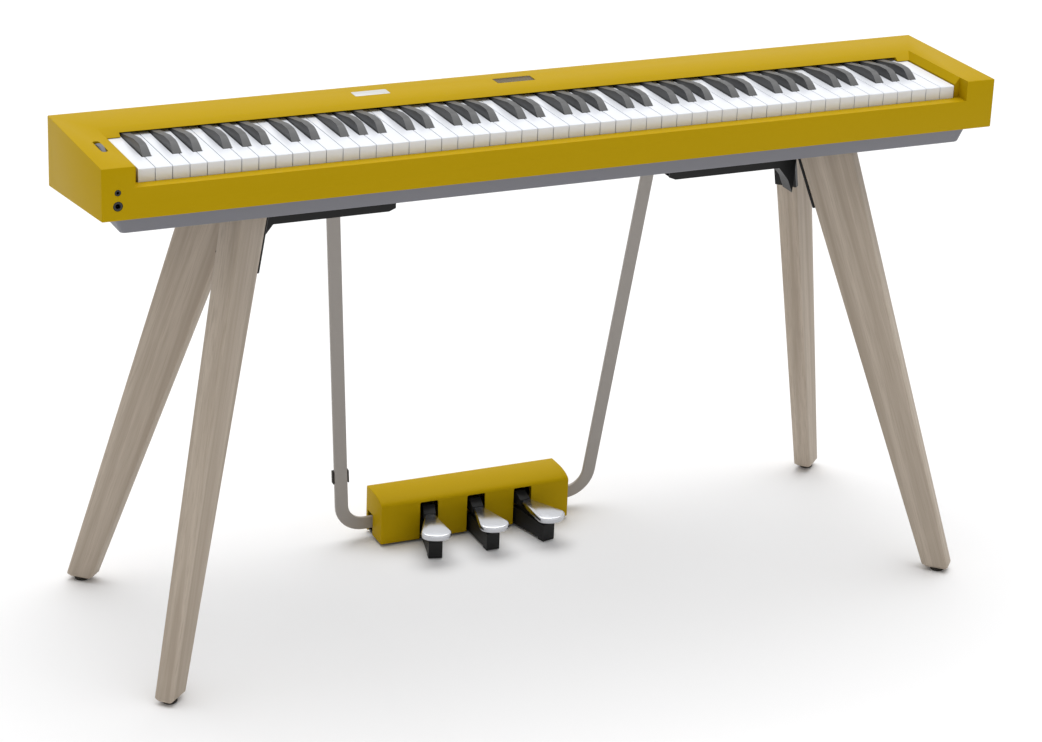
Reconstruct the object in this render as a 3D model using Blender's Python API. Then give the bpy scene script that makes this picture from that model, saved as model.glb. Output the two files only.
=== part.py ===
# Slab digital piano on a splayed wooden stand with a hanging three pedal unit.
# Units are metres. The origin is on the floor under the middle of the stand,
# +X runs to the player's right, +Y away from the player and +Z up.

import math

import bmesh
import bpy
from mathutils import Vector

# Body of the instrument
BODY_WIDTH = 1.340
BODY_DEPTH = 0.242
BODY_TOP = 0.742
BODY_BACKSET = 0.0127          # the body's middle stands this far in front of the stand's
FRONT_HEIGHT = 0.072
REAR_HEIGHT = 0.100
CASE_WALL = 0.003
EDGE_ROUND = 0.0015
SEAT_GAP = 0.0003              # left between pieces that rest on each other

# Lower case
CHASSIS_HEIGHT = 0.1007        # from the body's top to the chassis' underside
CHASSIS_WALL = 0.003
CHASSIS_FRONT_SETBACK = 0.0235
CHASSIS_END_SETBACK = 0.023
CHASSIS_FRONT_DRAFT = 0.005
CHASSIS_END_DRAFT = 0.011
CHASSIS_ROUND = 0.006

# Key well
SLIP_DEPTH = 0.0199
SLIP_DROP = 0.029
WELL_WIDTH = 1.249
WELL_BEVEL = 0.0080
WELL_BEVEL_DEPTH = 0.0095
PANEL_EDGE = 0.167             # from the body's front to the top panel's edge
NOSE_RUN = 0.012
NOSE_DROP = 0.0055
END_WEDGE_WIDTH = 0.0195

# Keys
WHITE_COUNT = 52
KEY_PITCH = 0.02365
KEY_GAP = 0.001
KEY_SINK = 0.0108              # white key tops under the body's top
WHITE_THICKNESS = 0.020
WHITE_LIP_ROUND = 0.0012
TAIL_SINK = 0.0077
TAIL_THICKNESS = 0.0083
BEAD_RADIUS = 0.004
WHITE_PIVOT_RUN = 0.197        # from the body's front to the white keys' hinge line
WHITE_PIVOT_SINK = 0.0122      # under the white key tops
WHITE_BAR_RUN = 0.015
BLACK_PIVOT_RUN = 0.219
BLACK_PIVOT_SINK = 0.0067
BLACK_BAR_RUN = 0.014
BLACK_BASE_WIDTH = 0.0124
BLACK_TOP_WIDTH = 0.0098
BLACK_SIDE_GAP = 0.0007
BLACK_RISE = 0.0118
BLACK_FRONT_RUN = 0.065        # from the body's front to the black keys' tips
BLACK_FRONT_SLOPE = 0.024
BLACK_CROWN_RUN = 0.018
BLACK_NOSE_RISE = 0.0042
BLACK_DEPTH = 0.014
BLACK_TAIL_RISE = 0.0010
BLACK_TAIL_DEPTH = 0.0037
ARC_STEPS = 8

# Black keys as (white boundary within the octave from C, offset from it)
OCTAVE_SHARPS = ((1, -0.0023), (2, 0.0023), (4, -0.0035), (5, 0.0), (6, 0.0034))
OCTAVE_WHITES = 7
LOW_WHITES = 2                 # the A and B under the lowest C

# Key frame, hinge rail and stop felt
FRAME_SHEET = 0.0025
FRAME_LENGTH = 1.224
FRONT_RAIL_RUN = 0.0345
FRONT_RAIL_WIDTH = 0.032
FRONT_RAIL_TOP_WIDTH = 0.022
FRONT_RAIL_SINK = 0.0460       # rail's top under the body's top
REAR_RAIL_RUN = 0.193
REAR_RAIL_WIDTH = 0.032
HINGE_RAIL_RUN = 0.187
HINGE_RAIL_WIDTH = 0.040
HINGE_RAIL_HEIGHT = 0.0095
RIB_WIDTH = 0.024
RIB_PLACES = (-0.600, -0.300, 0.0, 0.300, 0.600)
FELT_WIDTH = 0.018
FELT_THICKNESS = 0.0052
HINGE_PLAY = 0.0003

# Display, board, speakers and sockets
DISPLAY_SIZE = (0.058, 0.0215)
DISPLAY_RUN = 0.2065
DISPLAY_DEPTH = 0.0016
BOARD_WIDTH = 0.120
BOARD_THICKNESS = 0.0016
BOARD_RUN = 0.118
SPEAKER_X = 0.450
SPEAKER_RUN = 0.118
SPEAKER_SIZE = (0.160, 0.090)
SPEAKER_HEIGHT = 0.030
MAGNET_RADIUS = 0.026
JACK_X = -0.648
LARGE_JACK_SINK = 0.0522
SMALL_JACK_SINK = 0.0339
LARGE_JACK_RADIUS = 0.0064
SMALL_JACK_RADIUS = 0.0041
LARGE_SOCKET_RADIUS = 0.0033
SMALL_SOCKET_RADIUS = 0.0018
JACK_LENGTH = 0.022
JACK_FIT = 0.0003
REAR_PLATE_SIZE = (0.210, 0.026)
REAR_PLATE_X = 0.300
REAR_PLATE_SINK = 0.055
REAR_PLATE_DEPTH = 0.016
REAR_SOCKETS = (-0.085, -0.060, -0.035)
REAR_INLET_X = 0.085
REAR_INLET_RADIUS = 0.0045
REAR_PORT = (0.0115, 0.0105)
REAR_PORT_X = 0.020

# Pitch wheel
WHEEL_X = -0.6428
WHEEL_RUN = 0.091
WHEEL_RADIUS = 0.034
WHEEL_WIDTH = 0.0072
WHEEL_PROUD = 0.0028
WHEEL_SLOT = (0.0090, 0.046)
WHEEL_AXLE_RADIUS = 0.0025
WHEEL_BORE_PLAY = 0.0002
AXLE_SEAT_DEPTH = 0.0014

# Legs and glides
LEG_TOP_CENTRE = (0.4447, 0.0505)
LEG_FOOT_CENTRE = (0.6066, 0.2038)
LEG_TOP_SECTION = (0.0823, 0.0329)
LEG_FOOT_SECTION = (0.0397, 0.0274)
LEG_TURN = 43.0                # degrees from +X to a leg's long side
LEG_FOOT_CHAMFER = 0.005
LEG_EDGE_ROUND = 0.0025
GLIDE_RADIUS = 0.0105
GLIDE_HEIGHT = 0.0045

# Leg brackets
SPINE_INNER_X = 0.212
SPINE_OUTER_X = 0.392
SPINE_WIDTH = 0.028
SPINE_HEIGHT = 0.0440
SPINE_WALL = 0.003
BRACKET_SHEET = 0.003
WING_DROP = 0.095
WING_INSET = 0.006             # the plate's reach into the leg before it is cut back
FLANGE_WIDTH = 0.070

# Pedal unit
BOX_LENGTH = 0.310
BOX_FRONT = 0.1513
BOX_REAR = 0.2133
BOX_BOTTOM = 0.0036
BOX_TOP = 0.0760
BOX_WALL = 0.003
BOX_BROW = (0.038, 0.012)      # run and drop of the rounded front top
PEDAL_PITCH = 0.0773
PEDAL_SLANT = 13.9             # outer pedals turn out by this many degrees
SLOT_WIDTH = 0.0295
SLOT_TOP = 0.0640
AXLE_RADIUS = 0.003
AXLE_Y = 0.1975
AXLE_Z = 0.0425
AXLE_LENGTH = 0.222
AXLE_PLAY = 0.0002
PAD_START = 0.0535             # pad's rear end in front of the axle
PAD_TIP = 0.1340
PAD_TOP = 0.0467
PAD_THICKNESS = 0.0094
PAD_NECK_WIDTH = 0.0150
PAD_WIDTH = 0.0460
PAD_TIP_ROUND = 0.0186
PAD_EDGE_ROUND = 0.0026
LEVER_WEB_WIDTH = 0.012
LEVER_CAP_WIDTH = 0.018
LEVER_FRONT = 0.100
LEVER_BOTTOM = 0.0210
HUB_RADIUS = 0.0075
CHANNEL_WIDTH = 0.0210
CHANNEL_WALL = 0.0025
CHANNEL_FRONT = 0.1130
CHANNEL_TOP_REAR = 0.0320
CHANNEL_TOP_FRONT = 0.0275
FOOT_LENGTH = 0.013
FOOT_CLEARANCE = 0.0010
BASE_THICKNESS = 0.003
EAR_PLACES = (-0.104, -0.0386, 0.0386, 0.104)
EAR_THICKNESS = 0.005
LUG_THICKNESS = 0.005

# Pedal arms
ARM_WIDTH = 0.0205
ARM_THICKNESS = 0.005
ARM_TOP_X = 0.2567
ARM_SLOPE = 0.0881             # inward run for each metre of drop
ARM_LEAN = 0.1179              # rearward run for each metre of drop
ARM_BEND = 0.038
ARM_TOP_BEND = 0.016
ARM_TAB = 0.060
ARM_END_X = 0.116
ARM_FOOT_Z = 0.0254
ARM_FOOT_Y = 0.1912
NOTCH_FRONT = 0.1865
NOTCH_TOP = 0.0380
CLIP_HEIGHT = 0.112
CLIP_LENGTH = 0.021
CLIP_WALL = 0.0022

# Places that follow from the sizes above
FRONT = -BODY_BACKSET - BODY_DEPTH / 2
REAR = FRONT + BODY_DEPTH
CASE_BOTTOM = BODY_TOP - FRONT_HEIGHT
CHASSIS_BOTTOM = BODY_TOP - CHASSIS_HEIGHT
KEY_TOP = BODY_TOP - KEY_SINK
KEY_FRONT = FRONT + SLIP_DEPTH
NOSE_Y = FRONT + PANEL_EDGE - NOSE_RUN
WHITE_PIVOT = (FRONT + WHITE_PIVOT_RUN, KEY_TOP - WHITE_PIVOT_SINK)
BLACK_PIVOT = (FRONT + BLACK_PIVOT_RUN, KEY_TOP - BLACK_PIVOT_SINK)
WELL_LOW = BODY_TOP - WELL_BEVEL_DEPTH
KEYBOARD_LEFT = -WHITE_COUNT * KEY_PITCH / 2
TRAY_FLOOR = CHASSIS_BOTTOM + CHASSIS_WALL
LEG_TOP = CHASSIS_BOTTOM - SEAT_GAP

COLOURS = {
    "mustard": ((0.60, 0.40, 0.01), 0.28, 0.0),
    "grey": ((0.14, 0.14, 0.16), 0.50, 0.0),
    "glass": ((0.01, 0.01, 0.02), 0.08, 0.0),
    "white_key": ((0.86, 0.86, 0.88), 0.25, 0.0),
    "black_key": ((0.035, 0.036, 0.038), 0.40, 0.0),
    "oak": ((0.34, 0.28, 0.21), 0.60, 0.0),
    "black_steel": ((0.012, 0.012, 0.012), 0.45, 0.0),
    "warm_steel": ((0.26, 0.23, 0.21), 0.40, 0.6),
    "nickel": ((0.72, 0.73, 0.76), 0.15, 1.0),
    "felt": ((0.20, 0.01, 0.01), 0.95, 0.0),
    "board": ((0.01, 0.10, 0.04), 0.55, 0.0),
    "rubber": ((0.02, 0.015, 0.012), 0.80, 0.0),
}


def clear_scene():
    for item in list(bpy.data.objects):
        bpy.data.objects.remove(item, do_unlink=True)


def finish(name):
    """One Principled material for each finish of the piano."""
    found = bpy.data.materials.get(name)
    if found:
        return found
    colour, roughness, metallic = COLOURS[name]
    made = bpy.data.materials.new(name)
    made.use_nodes = True
    shader = made.node_tree.nodes["Principled BSDF"]
    shader.inputs["Base Color"].default_value = (*colour, 1.0)
    shader.inputs["Roughness"].default_value = roughness
    shader.inputs["Metallic"].default_value = metallic
    return made


def solid(name, points, faces, look, pivot=(0.0, 0.0, 0.0)):
    """A closed mesh object whose origin lies at the pivot."""
    mesh = bpy.data.meshes.new(name)
    shift = Vector(pivot)
    mesh.from_pydata([Vector(p) - shift for p in points], [], faces)
    shape = bmesh.new()
    shape.from_mesh(mesh)
    bmesh.ops.recalc_face_normals(shape, faces=shape.faces)
    shape.to_mesh(mesh)
    shape.free()
    made = bpy.data.objects.new(name, mesh)
    made.location = shift
    made.data.materials.append(finish(look))
    bpy.context.collection.objects.link(made)
    return made


def rings(name, loops, look, pivot=(0.0, 0.0, 0.0)):
    """Skin a row of closed loops with the same number of points and cap both ends."""
    count = len(loops[0])
    points = [p for loop in loops for p in loop]
    faces = [list(range(count))[::-1]]
    for level in range(len(loops) - 1):
        low = level * count
        for i in range(count):
            j = (i + 1) % count
            faces.append([low + i, low + j, low + count + j, low + count + i])
    faces.append(list(range((len(loops) - 1) * count, len(loops) * count)))
    return solid(name, points, faces, look, pivot)


def prism_x(name, outline, x0, x1, look, pivot=(0.0, 0.0, 0.0)):
    """Extrude a (y, z) outline along X."""
    loops = [[(x, y, z) for y, z in outline] for x in (x0, x1)]
    return rings(name, loops, look, pivot)


def prism_z(name, outline, z0, z1, look, pivot=(0.0, 0.0, 0.0)):
    """Extrude an (x, y) outline along Z."""
    loops = [[(x, y, z) for x, y in outline] for z in (z0, z1)]
    return rings(name, loops, look, pivot)


def rectangle(x0, x1, y0, y1):
    return [(x0, y0), (x1, y0), (x1, y1), (x0, y1)]


def box(name, x, y, z, look="grey", pivot=(0.0, 0.0, 0.0)):
    return prism_z(name, rectangle(*x, *y), *z, look, pivot)


def arc(centre, radius, start, end, steps=ARC_STEPS):
    """Points on a circle between two angles in degrees."""
    turn = [math.radians(start + (end - start) * i / steps) for i in range(steps + 1)]
    return [(centre[0] + radius * math.cos(a), centre[1] + radius * math.sin(a)) for a in turn]


def circle(centre, radius, steps):
    return arc(centre, radius, 0, 360 * (steps - 1) / steps, steps - 1)


def rounded_rectangle(x0, x1, y0, y1, radius, steps=3):
    corners = ((x1 - radius, y1 - radius, 0), (x0 + radius, y1 - radius, 90),
               (x0 + radius, y0 + radius, 180), (x1 - radius, y0 + radius, 270))
    return [p for x, y, a in corners for p in arc((x, y), radius, a, a + 90, steps)]


def cylinder_x(name, y, z, radius, x0, x1, look, steps=20, pivot=(0.0, 0.0, 0.0)):
    return prism_x(name, circle((y, z), radius, steps), x0, x1, look, pivot)


def cylinder_y(name, x, z, radius, y0, y1, look, steps=20):
    loops = [[(px, y, pz) for px, pz in circle((x, z), radius, steps)] for y in (y0, y1)]
    return rings(name, loops, look)


def as_tool(tool):
    tool.hide_render = True
    tool.display_type = 'WIRE'
    return tool


def combine(target, tool, operation):
    step = target.modifiers.new(operation.title() + " " + tool.name, 'BOOLEAN')
    step.operation = operation
    step.solver = 'EXACT'
    step.object = as_tool(tool)


def cut(target, *tools):
    for tool in tools:
        combine(target, tool, 'DIFFERENCE')


def add(target, *tools):
    for tool in tools:
        combine(target, tool, 'UNION')


def merged(name, tools, look="grey"):
    """Several separate closed tools as one mesh, so that they cut in one step."""
    points, faces = [], []
    for tool in tools:
        first = len(points)
        points += [v.co + tool.location for v in tool.data.vertices]
        faces += [[first + i for i in f.vertices] for f in tool.data.polygons]
        bpy.data.objects.remove(tool, do_unlink=True)
    return solid(name, points, faces, look)


def soften(target, width, steps=2, angle=40.0):
    step = target.modifiers.new("Soft edges", 'BEVEL')
    step.width = width
    step.segments = steps
    step.limit_method = 'ANGLE'
    step.angle_limit = math.radians(angle)
    step.use_clamp_overlap = True


def smooth(target, angle=35.0):
    target.data.shade_smooth()
    target.data.set_sharp_from_angle(angle=math.radians(angle))


# Cases

def case_profile(inset):
    """Side profile of the shell: flat top, upright front, underside falling to the rear."""
    fall = (REAR_HEIGHT - FRONT_HEIGHT) / BODY_DEPTH
    front, rear = FRONT + inset, REAR - inset
    low = -inset * 4
    return [(front, CASE_BOTTOM + low - fall * inset),
            (rear, CASE_BOTTOM + low - fall * (BODY_DEPTH - inset)),
            (rear, BODY_TOP - inset), (front, BODY_TOP - inset)]


def well_tool():
    """The opening over the keys, with sloped sides and a sloped rear edge."""
    half = WELL_WIDTH / 2
    low, high = half - WELL_BEVEL, half
    slope = WELL_BEVEL / WELL_BEVEL_DEPTH
    spare = 0.004
    rear_high = FRONT + PANEL_EDGE
    rear_low = rear_high - NOSE_RUN * WELL_BEVEL_DEPTH / NOSE_DROP * 0.84
    rear_slope = (rear_high - rear_low) / WELL_BEVEL_DEPTH
    floor = [(-low, KEY_FRONT - 0.0006), (low, KEY_FRONT - 0.0006), (low, rear_low), (-low, rear_low)]
    top = high + slope * spare
    lip = [(-top, KEY_FRONT - 0.0006), (top, KEY_FRONT - 0.0006),
           (top, rear_high + rear_slope * spare), (-top, rear_high + rear_slope * spare)]
    under = CHASSIS_BOTTOM - 0.010
    loops = [[(x, y, under) for x, y in floor], [(x, y, WELL_LOW) for x, y in floor],
             [(x, y, BODY_TOP + spare) for x, y in lip]]
    return rings("well_tool", loops, "grey")


def build_upper_case():
    half = BODY_WIDTH / 2
    case = prism_x("upper_case", case_profile(0.0), -half, half, "mustard")
    soften(case, EDGE_ROUND)
    inner_half = WELL_WIDTH / 2 - WELL_BEVEL
    under = CASE_BOTTOM - 0.050
    ceiling = BODY_TOP - CASE_WALL
    slip_top = BODY_TOP - SLIP_DROP
    mouth_half = inner_half - END_WEDGE_WIDTH
    cheek = WELL_WIDTH / 2 + CASE_WALL

    cut(case, well_tool())
    cut(case, box("slip_tool", (-WELL_WIDTH / 2, WELL_WIDTH / 2), (FRONT - 0.01, KEY_FRONT + 0.002),
                  (slip_top, BODY_TOP + 0.01)))
    cut(case, box("slip_hollow_tool", (-inner_half, inner_half), (FRONT + CASE_WALL, KEY_FRONT + 0.002),
                  (under, slip_top - CASE_WALL)))
    cut(case, box("panel_hollow_tool", (-inner_half, inner_half),
                  (FRONT + PANEL_EDGE + CASE_WALL, REAR - CASE_WALL), (under, ceiling)))
    cut(case, box("mouth_tool", (-mouth_half, mouth_half), (NOSE_Y - 0.012, FRONT + PANEL_EDGE + 0.006),
                  (under, BODY_TOP - NOSE_DROP)))
    cut(case, box("corner_hollow_tool", (-inner_half, inner_half),
                  (NOSE_Y - 0.015, FRONT + PANEL_EDGE + 0.006), (under, KEY_TOP + 0.0009)))
    for side, word in ((-1, "left"), (1, "right")):
        near, far = sorted((side * cheek, side * (half - CASE_WALL)))
        cut(case, box("cheek_hollow_tool_" + word, (near, far), (FRONT + CASE_WALL, REAR - CASE_WALL),
                      (under, ceiling)))

    cut(case, box("tray_seat_tool", (-half + CASE_WALL, half - CASE_WALL), (FRONT + CASE_WALL, REAR - CASE_WALL),
                  (under, CASE_BOTTOM + CHASSIS_WALL + 2 * SEAT_GAP)))
    cut_sockets_and_wheel(case)
    return case


def cut_sockets_and_wheel(case):
    """Holes for the jacks, the display, the rear sockets and the wheel, cut in one step."""
    tools = []
    for sink, radius in ((LARGE_JACK_SINK, LARGE_JACK_RADIUS), (SMALL_JACK_SINK, SMALL_JACK_RADIUS)):
        tools.append(cylinder_y("jack", JACK_X, BODY_TOP - sink, radius + JACK_FIT, FRONT - 0.01,
                                FRONT + CASE_WALL + 0.002, "grey", 24))
    wide, deep = DISPLAY_SIZE
    middle = FRONT + DISPLAY_RUN
    tools.append(box("display", (-wide / 2, wide / 2), (middle - deep / 2, middle + deep / 2),
                     (BODY_TOP - DISPLAY_DEPTH, BODY_TOP + 0.01)))
    wide, tall = REAR_PLATE_SIZE
    height = BODY_TOP - REAR_PLATE_SINK
    tools.append(box("rear_plate", (REAR_PLATE_X - wide / 2, REAR_PLATE_X + wide / 2),
                     (REAR - 0.01, REAR + 0.01), (height - tall / 2, height + tall / 2)))
    wide, deep = WHEEL_SLOT
    middle = FRONT + WHEEL_RUN
    outline = rounded_rectangle(WHEEL_X - wide / 2, WHEEL_X + wide / 2, middle - deep / 2,
                                middle + deep / 2, wide * 0.45)
    tools.append(prism_z("wheel_slot", outline, BODY_TOP - 0.02, BODY_TOP + 0.01, "grey"))
    cut(case, merged("holes_tool", tools))
    x0, x1 = wheel_axle_ends()
    cut(case, cylinder_x("axle_seat_tool", middle, wheel_centre_z(), WHEEL_AXLE_RADIUS + JACK_FIT,
                         x0 - SEAT_GAP, x1 + SEAT_GAP, "grey", 16))


def chassis_loop(inset, z, draft):
    """Rounded rectangle round the chassis at one height, drawn in by a share of its draft."""
    x = BODY_WIDTH / 2 - CHASSIS_END_SETBACK - draft * CHASSIS_END_DRAFT - inset
    y0 = FRONT + CHASSIS_FRONT_SETBACK + draft * CHASSIS_FRONT_DRAFT + inset
    y1 = REAR - CASE_WALL - 2 * SEAT_GAP - inset
    outline = rounded_rectangle(-x, x, y0, y1, CHASSIS_ROUND)
    return [(px, py, z) for px, py in outline]


def build_lower_case():
    """A shallow tray whose flange closes the shell from below."""
    flange = CASE_BOTTOM + SEAT_GAP
    x = BODY_WIDTH / 2 - CASE_WALL - SEAT_GAP
    outline = rounded_rectangle(-x, x, FRONT + CASE_WALL + SEAT_GAP, REAR - CASE_WALL - SEAT_GAP, 0.001)
    rim = [[(px, py, z) for px, py in outline] for z in (flange, flange + CHASSIS_WALL)]
    soft = CHASSIS_ROUND * 0.4
    loops = [chassis_loop(soft, CHASSIS_BOTTOM, 1.0),
             chassis_loop(soft * 0.3, CHASSIS_BOTTOM + soft * 0.3, 0.98),
             chassis_loop(0.0, CHASSIS_BOTTOM + soft, 0.93),
             chassis_loop(0.0, flange, 0.0), *rim,
             chassis_loop(CHASSIS_WALL, flange + CHASSIS_WALL, 0.0),
             chassis_loop(CHASSIS_WALL, TRAY_FLOOR, 1.0)]
    case = rings("lower_case", loops, "grey")
    return case


# Keys

def boundary(index):
    """X of the line between white key index - 1 and white key index."""
    return KEYBOARD_LEFT + index * KEY_PITCH


def sharps():
    """Every black key as (white boundary, x of its middle)."""
    found = [(1, boundary(1) + OCTAVE_SHARPS[-1][1])]
    for octave in range((WHITE_COUNT - LOW_WHITES) // OCTAVE_WHITES):
        first = LOW_WHITES + octave * OCTAVE_WHITES
        found += [(first + n, boundary(first + n) + shift) for n, shift in OCTAVE_SHARPS]
    return found


def white_profile():
    """(y, z) outline of a white key: lip, body, step down, tail and hinge bead."""
    bottom = KEY_TOP - WHITE_THICKNESS
    tail_top = KEY_TOP - TAIL_SINK
    tail_low = tail_top - TAIL_THICKNESS
    step = FRONT + PANEL_EDGE + 0.002
    lip = WHITE_LIP_ROUND
    y, z = WHITE_PIVOT
    low = math.degrees(math.asin((z - tail_low) / BEAD_RADIUS))
    high = math.degrees(math.asin(min(1.0, (tail_top - z) / BEAD_RADIUS)))
    bead = arc((y, z), BEAD_RADIUS, -180 + low, 180 - high, 2 * ARC_STEPS)
    front = [(KEY_FRONT, KEY_TOP - lip), (KEY_FRONT, bottom)]
    return [(KEY_FRONT + lip, KEY_TOP)] + front + [(step, bottom), (step, tail_low)] + bead + [
        (step + 0.003, tail_top), (step, KEY_TOP)]


def white_keys(name, first, last):
    """White keys first to last as one moulding, slotted for the black keys between them."""
    x0 = boundary(first) + KEY_GAP / 2
    x1 = boundary(last + 1) - KEY_GAP / 2
    middle = (x0 + x1) / 2
    keys = prism_x(name, white_profile(), x0, x1, "white_key", (middle, *WHITE_PIVOT))
    black = dict(sharps())
    slot = BLACK_BASE_WIDTH / 2 + BLACK_SIDE_GAP
    start = KEY_FRONT - 0.01
    mouth = FRONT + BLACK_FRONT_RUN - BLACK_SIDE_GAP
    end = WHITE_PIVOT[0] - WHITE_BAR_RUN
    half = KEY_GAP / 2
    tools = []
    for index in range(first, last + 2):
        x = boundary(index)
        if index in black:
            xb = black[index]
            outline = [(x - half, start), (x + half, start), (x + half, mouth), (xb + slot, mouth),
                       (xb + slot, end), (xb - slot, end), (xb - slot, mouth), (x - half, mouth)]
        elif first < index <= last:
            outline = rectangle(x - half, x + half, start, end)
        else:
            continue
        tools.append(prism_z("slot", outline, KEY_TOP - 0.04, KEY_TOP + 0.02, "grey"))
    if tools:
        cut(keys, merged(name + "_slots_tool", tools))
    return keys


def black_profile():
    """(y, z) outline of a black key's cap and tail, from its rounded front to the hinge bar."""
    y0 = FRONT + BLACK_FRONT_RUN
    crown = y0 + BLACK_FRONT_SLOPE
    top = KEY_TOP + BLACK_RISE
    rear = NOSE_Y
    low = KEY_TOP - BLACK_DEPTH
    front = [(y0 + BLACK_FRONT_SLOPE * i / ARC_STEPS,
              KEY_TOP + BLACK_RISE * math.sin(math.pi / 2 * i / ARC_STEPS)) for i in range(1, ARC_STEPS + 1)]
    tail = KEY_TOP + BLACK_TAIL_RISE
    end = BLACK_PIVOT[0] - BLACK_BAR_RUN + 0.004
    step = FRONT + PANEL_EDGE + 0.012
    return [(y0, low), (y0, KEY_TOP)] + front + [(crown + BLACK_CROWN_RUN, top),
            (rear, KEY_TOP + BLACK_NOSE_RISE), (step + 0.006, tail), (end, tail),
            (end, KEY_TOP - BLACK_TAIL_DEPTH), (step, KEY_TOP - BLACK_TAIL_DEPTH), (step, low)]


def black_width(z):
    """Half width of a black key at one height: upright below the whites, tapered above."""
    share = min(1.0, max(0.0, (z - KEY_TOP) / BLACK_RISE))
    return (BLACK_BASE_WIDTH + (BLACK_TOP_WIDTH - BLACK_BASE_WIDTH) * share) / 2


def black_bar_profile():
    """(y, z) outline of the bar that joins black keys at their hinge bead."""
    y, z = BLACK_PIVOT
    top = KEY_TOP + BLACK_TAIL_RISE + 0.0006
    front = y - BLACK_BAR_RUN
    low = KEY_TOP - BLACK_TAIL_DEPTH - 0.0006
    bead = arc((y, z), BEAD_RADIUS, -180, 0, ARC_STEPS)
    return [(front, top), (front, low), (y - BEAD_RADIUS, low)] + bead + [(y + BEAD_RADIUS, top)]


def black_keys(name, first, last):
    """The black keys at white boundaries first to last, joined at their hinge bar."""
    members = [x for index, x in sharps() if first <= index <= last]
    outline = black_profile()
    caps = []
    for x in members:
        loops = [[(x + side * black_width(z), y, z) for y, z in outline] for side in (-1, 1)]
        caps.append(rings("cap", loops, "black_key"))
    half = BLACK_BASE_WIDTH / 2 + 0.0002
    x0, x1 = members[0] - half, members[-1] + half
    pivot = ((x0 + x1) / 2, *BLACK_PIVOT)
    keys = prism_x(name, black_bar_profile(), x0, x1, "black_key", pivot)
    add(keys, merged(name + "_caps_tool", caps, "black_key"))
    return keys


def key_groups():
    """(word, first white, last white) of each moulded key set, low to high."""
    middle = 3
    sets = []
    count = (WHITE_COUNT - LOW_WHITES) // OCTAVE_WHITES
    for octave in range(count):
        first = LOW_WHITES + octave * OCTAVE_WHITES
        last = first + OCTAVE_WHITES - 1
        if octave == 0:
            first = 0
        if octave == count - 1:
            last = WHITE_COUNT - 1
        if octave != middle:
            sets.append(("octave_%d" % (octave + 1), first, last))
    return sets, LOW_WHITES + middle * OCTAVE_WHITES


def build_keys():
    sets, middle = key_groups()
    for word, first, last in sets:
        white_keys("white_keys_" + word, first, last)
        black_keys("black_keys_" + word, first, last)
    for step, note in enumerate("cdefgab"):
        white_keys("white_key_" + note, middle + step, middle + step)
    for (step, _), note in zip(OCTAVE_SHARPS, ("c_sharp", "d_sharp", "f_sharp", "g_sharp", "a_sharp")):
        black_keys("black_key_" + note, middle + step, middle + step)


# Key bed

def build_key_frame():
    """Two folded rails on flat ribs, standing on the tray's floor."""
    floor = TRAY_FLOOR + SEAT_GAP
    half = FRAME_LENGTH / 2
    sheet = FRAME_SHEET
    y = FRONT + FRONT_RAIL_RUN
    top = BODY_TOP - FRONT_RAIL_SINK
    front = [(y, floor), (y + FRONT_RAIL_WIDTH, floor), (y + FRONT_RAIL_WIDTH, floor + sheet),
             (y + sheet, floor + sheet), (y + sheet, top - sheet), (y + FRONT_RAIL_TOP_WIDTH, top - sheet),
             (y + FRONT_RAIL_TOP_WIDTH, top), (y, top)]
    frame = prism_x("key_frame", front, -half, half, "black_steel")
    y0 = FRONT + REAR_RAIL_RUN
    y1 = y0 + REAR_RAIL_WIDTH
    top = hinge_rail_bottom() - SEAT_GAP
    rear = [(y0, floor), (y1, floor), (y1, top), (y0, top), (y0, top - sheet), (y1 - sheet, top - sheet),
            (y1 - sheet, floor + sheet), (y0, floor + sheet)]
    add(frame, prism_x("rear_rail_tool", rear, -half, half, "black_steel"))
    ribs = [box("rib", (x - RIB_WIDTH / 2, x + RIB_WIDTH / 2), (y + FRONT_RAIL_WIDTH - 0.004, y0 + 0.004),
                (floor + 0.0002, floor + sheet - 0.0002)) for x in RIB_PLACES]
    add(frame, merged("ribs_tool", ribs, "black_steel"))


def hinge_rail_bottom():
    return WHITE_PIVOT[1] - BEAD_RADIUS - HINGE_RAIL_HEIGHT


def build_hinge_rail():
    """Rail with a rounded trough for the white keys' beads and one for the black keys'."""
    half = FRAME_LENGTH / 2
    bottom = hinge_rail_bottom()
    y0 = FRONT + HINGE_RAIL_RUN
    y1 = y0 + HINGE_RAIL_WIDTH
    radius = BEAD_RADIUS + HINGE_PLAY
    (yw, zw), (yb, zb) = WHITE_PIVOT, BLACK_PIVOT
    riser = (yw + yb) / 2
    outline = [(y0, bottom), (y1, bottom), (y1, zb)] + arc((yb, zb), radius, 0, -180) + [
        (riser, zb), (riser, zw)] + arc((yw, zw), radius, 0, -90) + [(y0, zw - radius - 0.0011)]
    prism_x("key_hinge_rail", outline, -half, half, "black_steel")


def build_stop_felt():
    y = FRONT + FRONT_RAIL_RUN + 0.002
    top = BODY_TOP - FRONT_RAIL_SINK + SEAT_GAP
    half = FRAME_LENGTH / 2
    box("key_stop_felt", (-half, half), (y, y + FELT_WIDTH), (top, top + FELT_THICKNESS), "felt")


# Electronics

def build_display():
    wide, deep = DISPLAY_SIZE
    y = FRONT + DISPLAY_RUN
    gap = SEAT_GAP
    box("display_window", (-wide / 2 + gap, wide / 2 - gap), (y - deep / 2 + gap, y + deep / 2 - gap),
        (BODY_TOP - DISPLAY_DEPTH + gap, BODY_TOP - gap / 2), "glass")


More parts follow.
